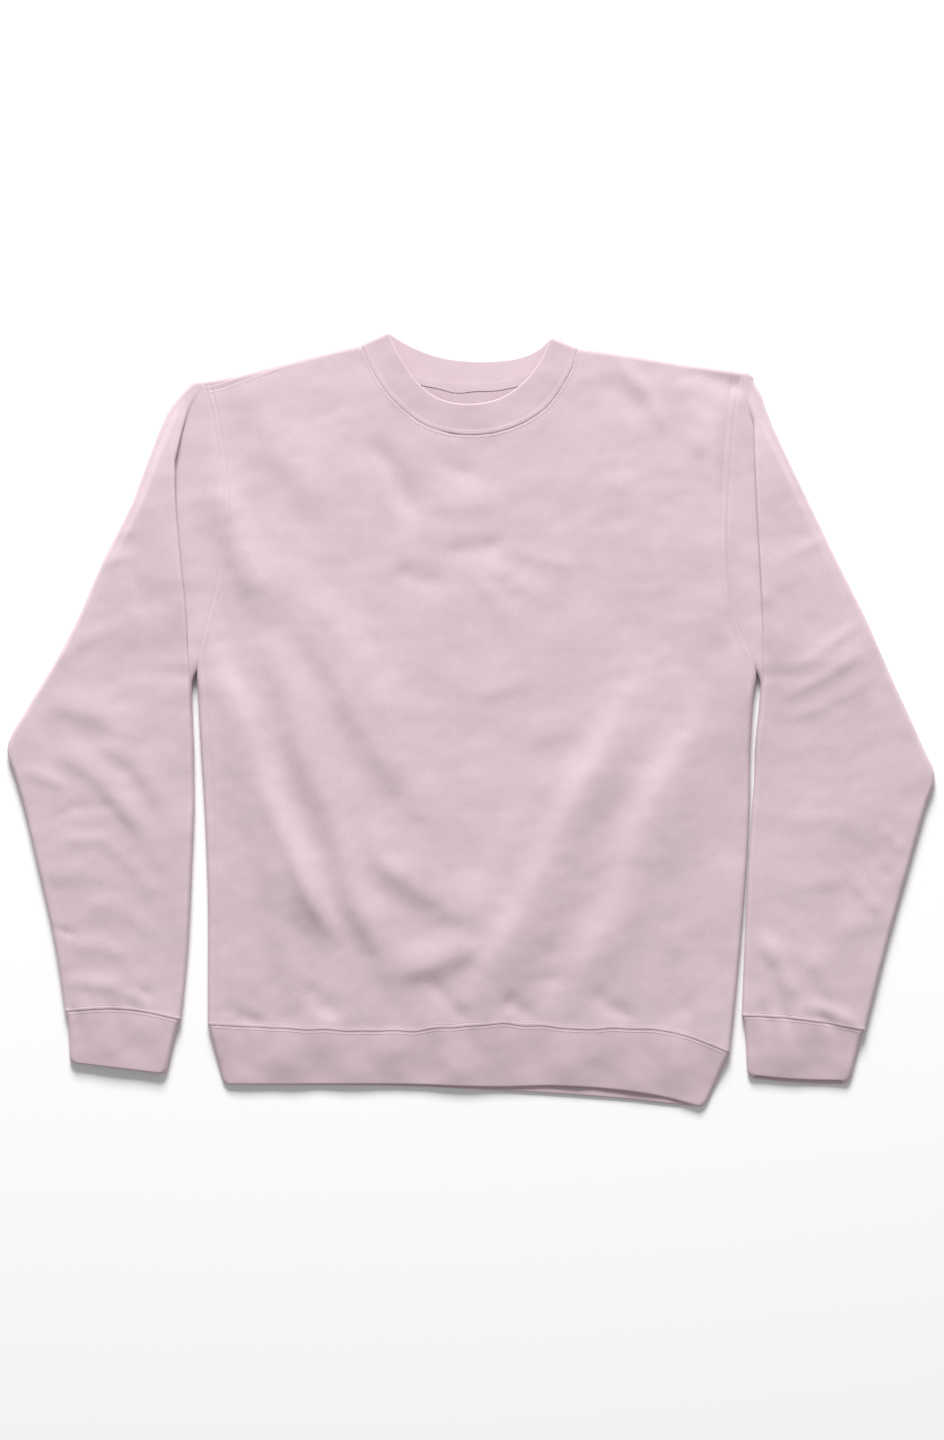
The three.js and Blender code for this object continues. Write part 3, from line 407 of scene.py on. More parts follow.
# The left shoulder seam lies in front of the shoulder's edge, and meets it towards the neck
SHOULDER_SEAM_X = [-249, -232, -213, -180]
SHOULDER_SEAM_Y = [304, 307.5, 314.5, 326]
SHOULDER_SEAM_DROPS = [0, 5]
SEAM_RIDGE_MM = 0.52
SEAM_STEP_MM = 0.22
ARMHOLE_DIP_MM = 0.35
SIDE_SEAM_IN = 9
HEM_DENTS = 0.5
HEM_DENT_REACH = 30
HEM_PUCKER_MM = 0.6
HEM_PUCKER_REACH = 12
NECK_PUCKER_MM = 0.35
NECK_PUCKER_REACH = 9
TOPSTITCH_IN = 6.8


def line_profile(distance):
    """A narrow rounded line across its middle, from 0 to 1."""
    return np.exp(-((distance / LINE_WIDTH) ** 2))


def seam_ridge(distance):
    """The rounded edge of the ply that lies over a seam's turnings."""
    return SEAM_RIDGE_MM * line_profile(distance - 1)


def seam_step(distance):
    """How far the other ply starts below it."""
    return SEAM_STEP_MM * np.exp(-distance / 2)


def edge_steps(start, end):
    """Distances from a start to an end, finer within reach of both."""
    low = np.arange(start, FINE_REACH, FINE_STEP)
    high = end - np.arange(0, FINE_REACH, FINE_STEP)[::-1]
    middle = np.linspace(low[-1], high[0], round((high[0] - low[-1]) / CLOTH_STEP))
    return concatenate([low, middle[1:-1], high])


def dent_waves(x, y):
    """Slow uneven waves for the dents of a band, about two units high and deep."""
    return sin(x / 8.3 + y / 21) + 1.2 * sin(x / 14.7 - y / 17 + 1.3) + sin(x / 23 + 2.1)


def hem_form(x, y, from_seam):
    """Unevenness that the body and its hem band share at their seam."""
    dents = HEM_DENTS * dent_waves(x, y) * np.exp(-from_seam / HEM_DENT_REACH)
    return dents + puckers(x, from_seam, HEM_PUCKER_MM, HEM_PUCKER_REACH)


def panel_grid(is_front):
    """Middle of a panel's wall as rows of points, from the hem up."""
    arc = np.linspace(0, 1, 6)
    insets, levels = turned_edge(arc)
    inner = edge_steps(EDGE, PANEL_WIDTH - EDGE)[1:-1]
    across = concatenate([insets, inner, PANEL_WIDTH - insets[::-1]]) / PANEL_WIDTH
    side = concatenate([levels, np.ones(len(inner)), levels[::-1]])
    climb = edge_steps(0, PANEL_HEIGHT - EDGE)[:-1]
    up = concatenate([climb, PANEL_HEIGHT - insets[::-1]]) / PANEL_HEIGHT
    top = concatenate([np.ones(len(climb)), levels[::-1]])
    across, up = np.meshgrid(across, up)
    side, top = np.meshgrid(side, top)
    x, y = panel_plan(across, up, is_front)
    corner = EDGE / FRONT_NECK_LENGTH * (NECK_TO - NECK_FROM)
    neck = smooth(NECK_FROM, NECK_FROM + corner, across) * smooth(NECK_FROM, NECK_FROM + corner, 1 - across)
    side = mix(side, 1, armhole_open(y))
    level = side * mix(top, 1, neck)
    if not is_front:
        flat = LOW + neck * back_lift((1 - up) * PANEL_HEIGHT)
        return np.stack([x, y, mix(MIDDLE, flat, level)], axis=-1)
    width = read(BODY_EDGES, y, "right") - read(BODY_EDGES, y, "left")
    from_left, from_right = across * width, (1 - across) * width
    from_hem, from_top = up * PANEL_HEIGHT, (1 - up) * PANEL_HEIGHT
    is_open = armhole_open(y)
    flat = front_height(x, y) + seam_ridge(from_hem) - neck * seam_step(from_top)
    flat -= is_open * ARMHOLE_DIP_MM * (line_profile(from_left) + line_profile(from_right))
    flat -= ARMHOLE_DIP_MM * line_profile(from_left - mix(SIDE_SEAM_IN, TOPSTITCH_IN, is_open))
    flat -= ARMHOLE_DIP_MM * is_open * line_profile(from_right - TOPSTITCH_IN)
    seam_y = np.interp(x, SHOULDER_SEAM_X, SHOULDER_SEAM_Y)
    seam_end = smooth(SHOULDER_SEAM_X[-1], SHOULDER_SEAM_X[-2], x)
    for drop in SHOULDER_SEAM_DROPS:
        flat -= ARMHOLE_DIP_MM * seam_end * line_profile(y - seam_y - drop)
    flat += hem_form(x, y, from_hem) + neck * puckers(x + y, from_top, NECK_PUCKER_MM, NECK_PUCKER_REACH)
    return np.stack([x, y, mix(MIDDLE, flat, level)], axis=-1)


SHARP_DEGREES = 55


def corner_inset(from_end, radius):
    """How far a rounded corner has drawn an edge in, near the end of a side."""
    short = np.maximum(radius - from_end, 0)
    return radius - np.sqrt(radius**2 - short**2)


def wall_object(name, grid, half=None, ring=False, flat_grain=False):
    """One closed wall of cloth round a grid of points in millimetres. half is half its thickness
    at each row. Its UV map holds distances along the cloth, in metres, or the plan for a flat grain."""
    rows, columns = grid.shape[:2]
    half = np.full(rows, WALL / 2) if half is None else half
    padded = concatenate([grid[:, -1:], grid, grid[:, :1]], axis=1) if ring else grid
    across = np.gradient(padded, axis=1)[:, 1:-1] if ring else np.gradient(grid, axis=1)
    along = np.gradient(grid, axis=0)
    normals = np.cross(across, along)
    normals /= np.linalg.norm(normals, axis=2, keepdims=True)
    lift = normals * half[:, None, None]
    points = concatenate([(grid + lift).reshape(-1, 3), (grid - lift).reshape(-1, 3)]) * MM
    index = np.arange(rows * columns).reshape(rows, columns)
    if ring:
        index = concatenate([index, index[:, :1]], axis=1)
    chart = np.arange(index.size).reshape(index.shape)

    def quads(top, under):
        corners = [
            (top[:-1, :-1], top[:-1, 1:], top[1:, 1:], top[1:, :-1]),
            (under[:-1, :-1], under[1:, :-1], under[1:, 1:], under[:-1, 1:]),
            (under[0, :-1], under[0, 1:], top[0, 1:], top[0, :-1]),
            (top[-1, :-1], top[-1, 1:], under[-1, 1:], under[-1, :-1]),
        ]
        if not ring:
            corners.append((top[:-1, 0], top[1:, 0], under[1:, 0], under[:-1, 0]))
            corners.append((under[:-1, -1], under[1:, -1], top[1:, -1], top[:-1, -1]))
        return concatenate([np.stack([corner.ravel() for corner in four], axis=1) for four in corners])

    faces = quads(index, index + rows * columns)
    chart_faces = quads(chart, chart)
    a, b, c, d = (points[faces[:, i]] for i in range(4))
    volume = (a * (np.cross(b, c) + np.cross(c, d))).sum()
    if volume < 0:
        faces, chart_faces = faces[:, ::-1], chart_faces[:, ::-1]
    mesh = bpy.data.meshes.new(name)
    mesh.vertices.add(len(points))
    mesh.vertices.foreach_set("co", points.ravel())
    mesh.loops.add(faces.size)
    mesh.loops.foreach_set("vertex_index", faces.ravel().astype(np.int32))
    mesh.polygons.add(len(faces))
    mesh.polygons.foreach_set("loop_start", np.arange(0, faces.size, 4, dtype=np.int32))
    mesh.update(calc_edges=True)
    closed = concatenate([grid, grid[:, :1]], axis=1) if ring else grid
    steps_across = np.linalg.norm(np.diff(closed, axis=1, prepend=closed[:, :1]), axis=2)
    steps_along = np.linalg.norm(np.diff(closed, axis=0, prepend=closed[:1]), axis=2)
    u = np.cumsum(steps_across, axis=1)
    u = u - u[:, columns // 2][:, None]
    v = np.repeat(np.cumsum(np.median(steps_along, axis=1))[:, None], closed.shape[1], axis=1)
    uv = closed[..., :2] if flat_grain else np.stack([u, v], axis=-1)
    layer = mesh.uv_layers.new(name="UVMap")
    layer.data.foreach_set("uv", (uv.reshape(-1, 2) * MM)[chart_faces.ravel()].ravel())
    mesh.shade_smooth()
    mesh.set_sharp_from_angle(angle=np.radians(SHARP_DEGREES))
    mesh.validate()
    return add_object(name, mesh)


def new_group(name, inputs, outputs):
    """A shader node group with its named sockets, and its two end nodes."""
    group = bpy.data.node_groups.new(name, "ShaderNodeTree")
    for label, kind, value in inputs:
        socket = group.interface.new_socket(label, in_out="INPUT", socket_type=kind)
        if value is not None:
            socket.default_value = value
    for label, kind in outputs:
        group.interface.new_socket(label, in_out="OUTPUT", socket_type=kind)
    return group, group.nodes.new("NodeGroupInput"), group.nodes.new("NodeGroupOutput")


def math_node(tree, operation, first, second=None):
    """A math node whose inputs are sockets or numbers; gives its output socket."""
    node = tree.nodes.new("ShaderNodeMath")
    node.operation = operation
    for socket, value in zip(node.inputs, (first, second)):
        if isinstance(value, (int, float)):
            socket.default_value = value
        elif value is not None:
            tree.links.new(value, socket)
    return node.outputs[0]


def noise_node(tree, coordinates, scale, detail=2.0, roughness=0.5):
    noise = tree.nodes.new("ShaderNodeTexNoise")
    set_inputs(noise, Scale=scale, Detail=detail, Roughness=roughness)
    tree.links.new(coordinates, noise.inputs["Vector"])
    return noise.outputs["Fac"]


def weighted_sum(tree, parts, base=0.0):
    """Adds sockets to a base, each times its weight."""
    total = base
    for socket, weight in parts:
        total = math_node(tree, "ADD", math_node(tree, "MULTIPLY", socket, weight), total)
    return total


def cloth_place(group):
    """Sockets of the UV map's two directions, in metres."""
    uv = group.nodes.new("ShaderNodeUVMap")
    uv.uv_map = "UVMap"
    split = group.nodes.new("ShaderNodeSeparateXYZ")
    group.links.new(uv.outputs[0], split.inputs[0])
    return split.outputs["X"], split.outputs["Y"]


def use_group(tree, group):
    node = tree.nodes.new("ShaderNodeGroup")
    node.node_tree = group
    return node


FULL_TURN = 6.2832
LOOP_WIDTH = 0.00125
LOOP_HEIGHT = 0.001


def knit_group():
    """Jersey face: columns of V-shaped loops, as a height from 0 to 1 over the UV map in metres."""
    sizes = [("Loop Width", "NodeSocketFloat", LOOP_WIDTH), ("Loop Height", "NodeSocketFloat", LOOP_HEIGHT)]
    group, entry, end = new_group("jersey_loops", sizes, [("Height", "NodeSocketFloat")])
    across, along = cloth_place(group)
    column = math_node(group, "DIVIDE", across, entry.outputs["Loop Width"])
    course = math_node(group, "DIVIDE", along, entry.outputs["Loop Height"])
    off_middle = math_node(group, "SUBTRACT", math_node(group, "FRACT", column), 0.5)
    off_middle = math_node(group, "ABSOLUTE", off_middle)
    slanted = math_node(group, "ADD", course, math_node(group, "MULTIPLY", off_middle, 1.6))
    loop = math_node(group, "SINE", math_node(group, "MULTIPLY", slanted, FULL_TURN))
    groove = math_node(group, "COSINE", math_node(group, "MULTIPLY", off_middle, 2 * FULL_TURN))
    height = weighted_sum(group, ((loop, 0.22), (groove, -0.28)), 0.5)
    group.links.new(height, end.inputs["Height"])
    return group


def shade_group():
    """Garment dye: the cloth's colour, a little uneven in broad clouds, patches and fine flecks."""
    colours = [("Light", "NodeSocketColor", None), ("Dark", "NodeSocketColor", None)]
    group, entry, end = new_group("pastel_dye", colours, [("Color", "NodeSocketColor")])
    place = group.nodes.new("ShaderNodeTexCoord").outputs["Object"]
    clouds = noise_node(group, place, 9, 3)
    patches = noise_node(group, place, 55, 3, 0.6)
    flecks = noise_node(group, place, 520, 3, 0.7)
    total = weighted_sum(group, ((clouds, 0.3), (patches, 0.27), (flecks, 0.43)))
    spread = group.nodes.new("ShaderNodeMapRange")
    set_inputs(spread, From_Min=0.36, From_Max=0.64)
    group.links.new(total, spread.inputs["Value"])
    blend = group.nodes.new("ShaderNodeMix")
    blend.data_type = "RGBA"
    group.links.new(spread.outputs["Result"], blend.inputs["Factor"])
    group.links.new(entry.outputs["Dark"], blend.inputs["A"])
    group.links.new(entry.outputs["Light"], blend.inputs["B"])
    group.links.new(blend.outputs["Result"], end.inputs["Color"])
    return group


jersey_loops = knit_group()
pastel_dye = shade_group()
FUZZ_SCALE = 1400
FUZZ_SHARE = 0.35
LIGHT_PINK = (0.676, 0.538, 0.586, 1)
DARK_PINK = (0.602, 0.467, 0.515, 1)
FLEECE_BUMP_MM = 0.16
FLEECE_SHEEN = 0.25


def fleece_material(name, light, dark):
    """Brushed cotton fleece: knitted face with a short soft nap."""
    material, surface = new_material(name, Roughness=0.95, Specular_IOR_Level=0.12)
    set_inputs(surface, Sheen_Weight=FLEECE_SHEEN, Sheen_Roughness=0.5, Sheen_Tint=(1, 0.93, 0.96, 1))
    tree = material.node_tree
    dye = use_group(tree, pastel_dye)
    set_inputs(dye, Light=light, Dark=dark)
    tree.links.new(dye.outputs["Color"], surface.inputs["Base Color"])
    loops = use_group(tree, jersey_loops)
    place = tree.nodes.new("ShaderNodeTexCoord").outputs["Object"]
    fuzz = math_node(tree, "MULTIPLY", noise_node(tree, place, FUZZ_SCALE, 3, 0.6), FUZZ_SHARE)
    bump = tree.nodes.new("ShaderNodeBump")
    set_inputs(bump, Strength=1, Distance=FLEECE_BUMP_MM * MM)
    tree.links.new(math_node(tree, "ADD", loops.outputs["Height"], fuzz), bump.inputs["Height"])
    tree.links.new(bump.outputs["Normal"], surface.inputs["Normal"])
    return material


fleece = fleece_material("pink_fleece", LIGHT_PINK, DARK_PINK)


def wear(piece, material, slot, *nodes):
    """Gives a cloth piece its finish and its body, and hides the solid that it stands for."""
    piece.data.materials.append(material)
    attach(piece, "root")
    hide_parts(*nodes)


front_panel = wall_object("front_panel_cloth", panel_grid(True), flat_grain=True)
wear(front_panel, fleece, "fleece", "front_panel")

back_panel = wall_object("back_panel_cloth", panel_grid(False), flat_grain=True)
wear(back_panel, fleece, "fleece", "back_panel")

# Sleeves: one piece of fleece each, wrapped round the arm and sewn along the inner edge. Turned
# down beside the body, each folds in a pleat over the cloth next to its armhole.
Arm = namedtuple("Arm", "y left_outer left_fold right_outer right_fold turn tuck")
ARMS = [
    Arm(314, -258, -254, 262, 257, 0, 0),
    Arm(304, -267, -262, 268, 261, 5, 0),
    Arm(290, -278.5, -271, 273, 263, 30, 0),
    Arm(270, -288, -276, 281, 264, 85, 0),
    Arm(246, -297.6, -276, 292, 264.5, 130, 1),
    Arm(200, -314.8, -275.3, 314, 266.5, 170, 4),
    Arm(150, -340, -271, 338, 269.3, 170, 4),
    Arm(92, -365.5, -265.5, 367, 272, 120, 1),
    Arm(60, -382, -264, 381, 272, 90, 0),
    Arm(36, -396, -261, 391.5, 271, 90, 0),
    Arm(10, -412, -260.5, 403.5, 269, 90, 0),
    Arm(-27, -430.6, -259, 420, 265.5, 90, 0),
    Arm(-53, -423.5, -258.7, 430.6, 265, 90, 0),
    Arm(-80, -415.7, -258.6, 422.5, 263, 90, 0),
    Arm(-131, -403.6, -260.5, 408, 259.5, 90, 0),
    Arm(-206, -387, -264, 387, 256, 90, 0),
    Arm(-290, -374.5, -272, 366, 252.5, 90, 0),
]
PLEAT_RADIUS = 1.7
PLEAT_RUN = 0.4
BEND_SHARE = 0.2
FLAP_SHARE = 0.3
FLAP_FADE = 48
PUFF = 3.8
PUFF_FROM_Y, PUFF_TO_Y = -90, 50
# Each sleeve's top and elbow, its cuff's seam, and the cuff's free edge: outer, inner, bow, back
# drop and the front's fall
Limb = namedtuple("Limb", "word side elbow_y cap_y seam_outer_y seam_inner_y seam_bow edge_outer edge_inner "
                  "edge_bow back_drop fall")
LIMBS = [
    Limb("left", -1, -27, 312.5, -272, -279.5, 6, (-372, -320), (-285, -330), 0, 0.8, 2.6),
    Limb("right", 1, -53, 317, -289.5, -276, 3, (351, -336.5), (259, -331.5), -1.5, 3.5, 4.4),
]


def arm_edge(limb, y, name):
    return read(ARMS, y, f"{limb.word}_{name}")


def pleat_place(share, turn, tuck, radius):
    """How far a pleat has run forward and down, from the flap's top to the cloth below it."""
    step = np.asarray(share) * 7
    first = np.clip(step / 3, 0, 1) * turn
    run = np.clip(step - 3, 0, 1) * (tuck + PLEAT_RUN)
    remaining = turn - np.clip((step - 4) / 3, 0, 1) * turn
    forward = radius * (sin(first) + sin(turn) - sin(remaining)) + run * cos(turn)
    down = radius * (1 - cos(first) + cos(remaining) - cos(turn)) + run * sin(turn)
    return forward, down


def sleeve_row(limb, outer_y, inner_y, forearm):
    """Points of one section of a sleeve, from the underarm seam round the arm and back."""
    outer_x = arm_edge(limb, outer_y, "outer")
    outer_centre = outer_x - limb.side * EDGE
    seam_x = read(BODY_EDGES, inner_y, limb.word)
    is_open = armhole_open(inner_y)
    cloth = abs(seam_x - outer_centre)
    turn = np.radians(max(1, read(ARMS, inner_y, "turn") * is_open))
    tuck = max(0, read(ARMS, inner_y, "tuck"))
    bend = min(PLEAT_RADIUS * pi / 2, cloth * BEND_SHARE)
    radius = max(PLEAT_RADIUS * smooth(0, pi / 2, turn), bend / turn)
    fold_x = arm_edge(limb, inner_y, "fold")
    nose = fold_x + limb.side * radius * sin(min(turn, pi / 2))
    flap_end = limb.side * min(limb.side * nose, limb.side * outer_centre - cloth * FLAP_SHARE)
    fold_centre = mix(fold_x + limb.side * EDGE, flap_end, is_open)
    rise = pleat_place(1, turn, tuck, radius)[1]
    outer_y = min(outer_y, mix(outer_y, limb.cap_y, is_open))
    bow = limb.seam_bow * forearm**3

    def y_at(x, level):
        across = np.clip((x - outer_x) / (fold_x - outer_x), 0, 1)
        return mix(outer_y, inner_y, across) + bow * (1 + level) / 2 * sin(pi * across)

    def crown(x):
        fade = np.exp(-(((x - fold_x) / FLAP_FADE) ** 2))
        puff = mix(PUFF, rise, is_open) * smooth(PUFF_FROM_Y, PUFF_TO_Y, inner_y) * fade
        puff = puff * smooth(0, 3 * EDGE, abs(x - outer_x))
        return front_height(x, y_at(x, 1)) + puff

    inset, level = turned_edge(np.linspace(0, 1, 7))
    opened = np.linspace(seam_x, seam_x + limb.side * EDGE, 7)
    under_edge_x = mix(fold_x + limb.side * inset, opened, is_open)
    under_edge_z = mix(mix(MIDDLE, LOW, level), LOW, is_open)
    under_x = np.linspace(under_edge_x[-1], outer_centre, 30)[1:]
    angle = np.linspace(-pi / 2, pi / 2, 13)[1:]
    turn_x = outer_centre + limb.side * EDGE * cos(angle)
    turn_z = mix(LOW, crown(outer_centre), (1 + sin(angle)) / 2)
    flap_x = np.linspace(outer_centre, fold_centre, 46)[1:]
    share = np.linspace(0, 1, 22)[1:]
    forward, down = pleat_place(share, turn, tuck, radius)
    folded_x = flap_end - limb.side * forward
    cap_x = mix(folded_x[-1], seam_x, 1 - (1 - np.linspace(0, 1, 13)[1:]) ** 1.8)
    open_x = concatenate([folded_x, cap_x])
    drop = concatenate([down, np.full(len(cap_x), rise)])
    lift = crown(fold_centre) - front_height(flap_end, inner_y)
    open_z = front_height(open_x, np.full(open_x.shape, inner_y)) + lift * (1 - drop / rise)
    open_z = open_z - is_open * ARMHOLE_DIP_MM * line_profile(open_x - seam_x)
    inset, level = turned_edge(np.linspace(1, 0, len(open_x) + 1)[1:])
    closed_x = fold_x + limb.side * inset
    closed_z = mix(MIDDLE, crown(fold_centre), level)
    last_y = mix(y_at(closed_x, level), inner_y, is_open)
    x = concatenate([under_edge_x, under_x, turn_x, flap_x, mix(closed_x, open_x, is_open)])
    z = concatenate([under_edge_z, np.full(len(under_x), LOW), turn_z, crown(flap_x),
                     mix(closed_z, open_z, is_open)])
    y = concatenate([y_at(under_edge_x, -1), y_at(under_x, -1), y_at(turn_x, sin(angle)),
                     y_at(flap_x, 1), last_y])
    return np.stack([x, y, z], axis=-1)


CUFF_PUCKER_MM = 1.4
CUFF_PUCKER_REACH = 13
CUFF_PUCKER_SLANT = 0.3
SLEEVE_END_STEPS = np.array([3.6, 2.6, 1.8, 1.2, 0.6, 0])
SLEEVE_END = 5


def cuff_form(x, y, from_seam):
    """Gathers that a sleeve and its cuff share at their seam, deeper on the sleeve."""
    return puckers(x + CUFF_PUCKER_SLANT * y, from_seam, CUFF_PUCKER_MM, CUFF_PUCKER_REACH)


def sleeve_grid(limb):
    top = SHOULDERS[0].left_y if limb.side < 0 else SHOULDERS[0].right_y
    insets, levels = turned_edge(np.linspace(0, 1, 6))
    upper = np.linspace(top - EDGE, limb.elbow_y, round((top - limb.elbow_y) / CLOTH_STEP))
    upper = concatenate([top - insets[:-1], upper])
    level = concatenate([levels[:-1], np.ones(len(upper) - len(insets) + 1)])
    rows = [sleeve_row(limb, y, y, 0) for y in upper]
    for row, share in zip(rows, level):
        row[:, 2] = mix(MIDDLE, row[:, 2], share)
    length = limb.elbow_y - limb.seam_inner_y
    down = np.linspace(0, length - SLEEVE_END, round(length / CLOTH_STEP))[1:]
    down = concatenate([down, length - SLEEVE_END_STEPS])
    for share in down / length:
        outer_y = mix(limb.elbow_y, limb.seam_outer_y, share)
        inner_y = mix(limb.elbow_y, limb.seam_inner_y, share)
        rows.append(sleeve_row(limb, outer_y, inner_y, share))
    grid = np.stack(rows)
    to_seam = np.linalg.norm(grid - grid[-1:], axis=2)
    is_top = smooth(LOW, HIGH, grid[..., 2])
    grid[..., 2] += is_top * (cuff_form(grid[..., 0], grid[..., 1], to_seam) + seam_ridge(to_seam))
    return grid


for limb in LIMBS:
    sleeve = wall_object(f"sleeve_{limb.word}_cloth", sleeve_grid(limb))
    wear(sleeve, fleece, "fleece", f"sleeve_{limb.word}")

# Cuffs: tubes of rib knit, narrower than the sleeve, folded double at the free edge and sewn on
# with the sleeve's end eased in.
RIB_PITCH = 0.0024
RIB_BUMP_MM = 0.09
RIB_SHEEN = 0.2


def rib_group():
    """Rib knit: upright ridges over the UV map, as a height from 0 to 1, broken by its courses."""
    group, entry, end = new_group("rib_knit", [("Pitch", "NodeSocketFloat", RIB_PITCH)],
                                  [("Height", "NodeSocketFloat")])
    across, along = cloth_place(group)
    column = math_node(group, "DIVIDE", across, entry.outputs["Pitch"])
    ridge = math_node(group, "COSINE", math_node(group, "MULTIPLY", column, FULL_TURN))
    course = math_node(group, "SINE", math_node(group, "MULTIPLY", along, FULL_TURN / LOOP_HEIGHT))
    height = weighted_sum(group, ((ridge, 0.4), (course, 0.08)), 0.5)
    group.links.new(height, end.inputs["Height"])
    return group


rib_knit = rib_group()


def rib_material(name, light, dark):
    """Cotton rib: fine upright ridges, matt and a little flatter in tone than the fleece."""
    material = fleece_material(name, light, dark)
    tree = material.node_tree
    surface = tree.nodes["Principled BSDF"]
    set_inputs(surface, Sheen_Weight=RIB_SHEEN)
    ridges = use_group(tree, rib_knit)
    bump = surface.inputs["Normal"].links[0].from_node
    set_inputs(bump, Distance=RIB_BUMP_MM * MM)
    tree.links.new(ridges.outputs["Height"], bump.inputs["Height"])
    return material


rib = rib_material("pink_rib", (0.618, 0.484, 0.531, 1), (0.578, 0.446, 0.493, 1))
BAND_STEP = 2.4
BAND_DENTS = 0.75
BAND_DENT_END = 66
BAND_CORNER = 5
BAND_START_STEPS = [0, 0.7, 1.5, 2.6]
BAND_MIDDLE_FROM = 4
THINNEST = 0.02
CUFF_DEPTH = 54
CUFF_NARROWING = 1.6
CUFF_STEPS = 44


def ring_places(top_steps, bottom_steps, arc_steps=12):
    """Shares across, outward push and level round a flattened ring."""
    arc = np.arange(arc_steps) / arc_steps * pi
    top = np.arange(top_steps) / top_steps
    bottom = 1 - np.arange(bottom_steps) / bottom_steps
    across = concatenate([top, np.ones(arc_steps), bottom, np.zeros(arc_steps)])
    out = concatenate([np.zeros(top_steps), sin(arc), np.zeros(bottom_steps), -sin(arc)])
    level = concatenate([np.ones(top_steps), cos(arc), -np.ones(bottom_steps), -cos(arc)])
    return across, out, level


def free_edge_rows(depth, step):
    """Shares down a band, closer together at its rounded free edge, and half the wall's thickness."""
    middle = np.linspace(BAND_MIDDLE_FROM, depth - WALL, max(3, round(depth / step)))
    angle = np.linspace(0, pi / 2, 6)
    end = depth - (WALL / 2) * (1 - sin(angle))
    start = concatenate([BAND_START_STEPS, middle])
    half = concatenate([np.full(len(start), WALL / 2), (WALL / 2) * cos(angle)])
    return concatenate([start, end]) / depth, np.maximum(half, THINNEST)


def band_row(places, start_x, end_x, plan, drop, from_seam, ease):
    """One ring of a band, between the two ends of its width. ease is the form of its seam."""
    across, out, level = places
    direction = np.sign(end_x - start_x)
    x = mix(start_x + direction * EDGE, end_x - direction * EDGE, across) + direction * EDGE * out
    y = plan(x, level)
    eased = ease(x, y, from_seam)
    reach = (1 - np.exp(-from_seam / HEM_DENT_REACH)) * smooth(BAND_DENT_END, BAND_DENT_END / 2, from_seam)
    top = front_height(x, y) + BAND_DENTS * dent_waves(x, y) * reach + eased - drop
    return np.stack([x, y, mix(LOW, top, (1 + level) / 2)], axis=-1)


def band_drop(share, depth, fall):
    """How far a band's front lies below the cloth above it, and comes down to its free edge."""
    return seam_step(share * depth) + fall * share**1.5


def cuff_grid(limb):
    down, half = free_edge_rows(CUFF_DEPTH, BAND_STEP)
    places = ring_places(CUFF_STEPS, CUFF_STEPS)
    rows = []
    for share in down:
        outer_x = mix(arm_edge(limb, limb.seam_outer_y, "outer"), limb.edge_outer[0], share)
        inner_x = mix(arm_edge(limb, limb.seam_inner_y, "fold"), limb.edge_inner[0], share)
        inset = corner_inset(CUFF_DEPTH * (1 - share), BAND_CORNER)
        inset += CUFF_NARROWING * smooth(0, 0.14, share) * (1 - smooth(0.3, 1, share))
        outer_x, inner_x = outer_x - limb.side * inset, inner_x + limb.side * inset

        def plan(x, level):
            across = np.clip((x - outer_x) / (inner_x - outer_x), 0, 1)
            arch = sin(pi * across)
            seam_y = mix(limb.seam_outer_y, limb.seam_inner_y, across)
            seam_y = seam_y + limb.seam_bow * arch * (1 + level) / 2
            edge_y = mix(limb.edge_outer[1], limb.edge_inner[1], across) + limb.edge_bow * arch
            return mix(seam_y, edge_y - limb.back_drop * (1 - level) / 2, share)

        drop = band_drop(share, CUFF_DEPTH, limb.fall)
        rows.append(band_row(places, outer_x, inner_x, plan, drop, share * CUFF_DEPTH, cuff_form))
    return np.stack(rows), half


for limb in LIMBS:
    grid, half = cuff_grid(limb)
    cuff = wall_object(f"cuff_{limb.word}_rib", grid, half, ring=True)
    wear(cuff, rib, "rib", f"cuff_{limb.word}")

# Hem band: a tube of the same rib, folded double at its free edge. Its back layer hangs a little
# lower than the front towards the right.
HEM_EDGE_LEFT_X = -229
HEM_EDGE_RIGHT_X = 216
HEM_DEPTH = 54
HEM_FALL = 4.4
HEM_FRONT_STEPS = 190
HEM_BACK_STEPS = 120


def hem_grid():
    down, half = free_edge_rows(HEM_DEPTH, BAND_STEP)
    places = ring_places(HEM_FRONT_STEPS, HEM_BACK_STEPS)
    rows = []
    for share in down:
        start_x = mix(HEM_LEFT[0], HEM_EDGE_LEFT_X, share)
        end_x = mix(HEM_RIGHT[0], HEM_EDGE_RIGHT_X, share)
        inset = corner_inset(HEM_DEPTH * (1 - share), BAND_CORNER)
        start_x, end_x = start_x + inset, end_x - inset

        def plan(x, level):
            across = np.clip((x - start_x) / (end_x - start_x), 0, 1)
            front_share = (1 + level) / 2
            back_y, front_y = (read(HEM, across, name) for name in ("back_edge", "front_edge"))
            return mix(hem_seam(across, front_share), mix(back_y, front_y, front_share), share)

        drop = band_drop(share, HEM_DEPTH, HEM_FALL)
        rows.append(band_row(places, start_x, end_x, plan, drop, share * HEM_DEPTH, hem_form))
    return np.stack(rows), half


grid, half = hem_grid()
hem_band = wall_object("hem_band_rib", grid, half, ring=True)
wear(hem_band, rib, "rib", "hem_band")

# Collar: a ring of rib folded double, sewn round the neck a little stretched. Lying flat, it is
# folded over at both sides, its front half on top and the inside of its back half showing.
COLLAR_DEPTH = 26
COLLAR_RISE = 1.4
COLLAR_DENTS = 0.25
COLLAR_STEP = 1.6
COLLAR_FRONT_STEPS = 110
COLLAR_BACK_STEPS = 80


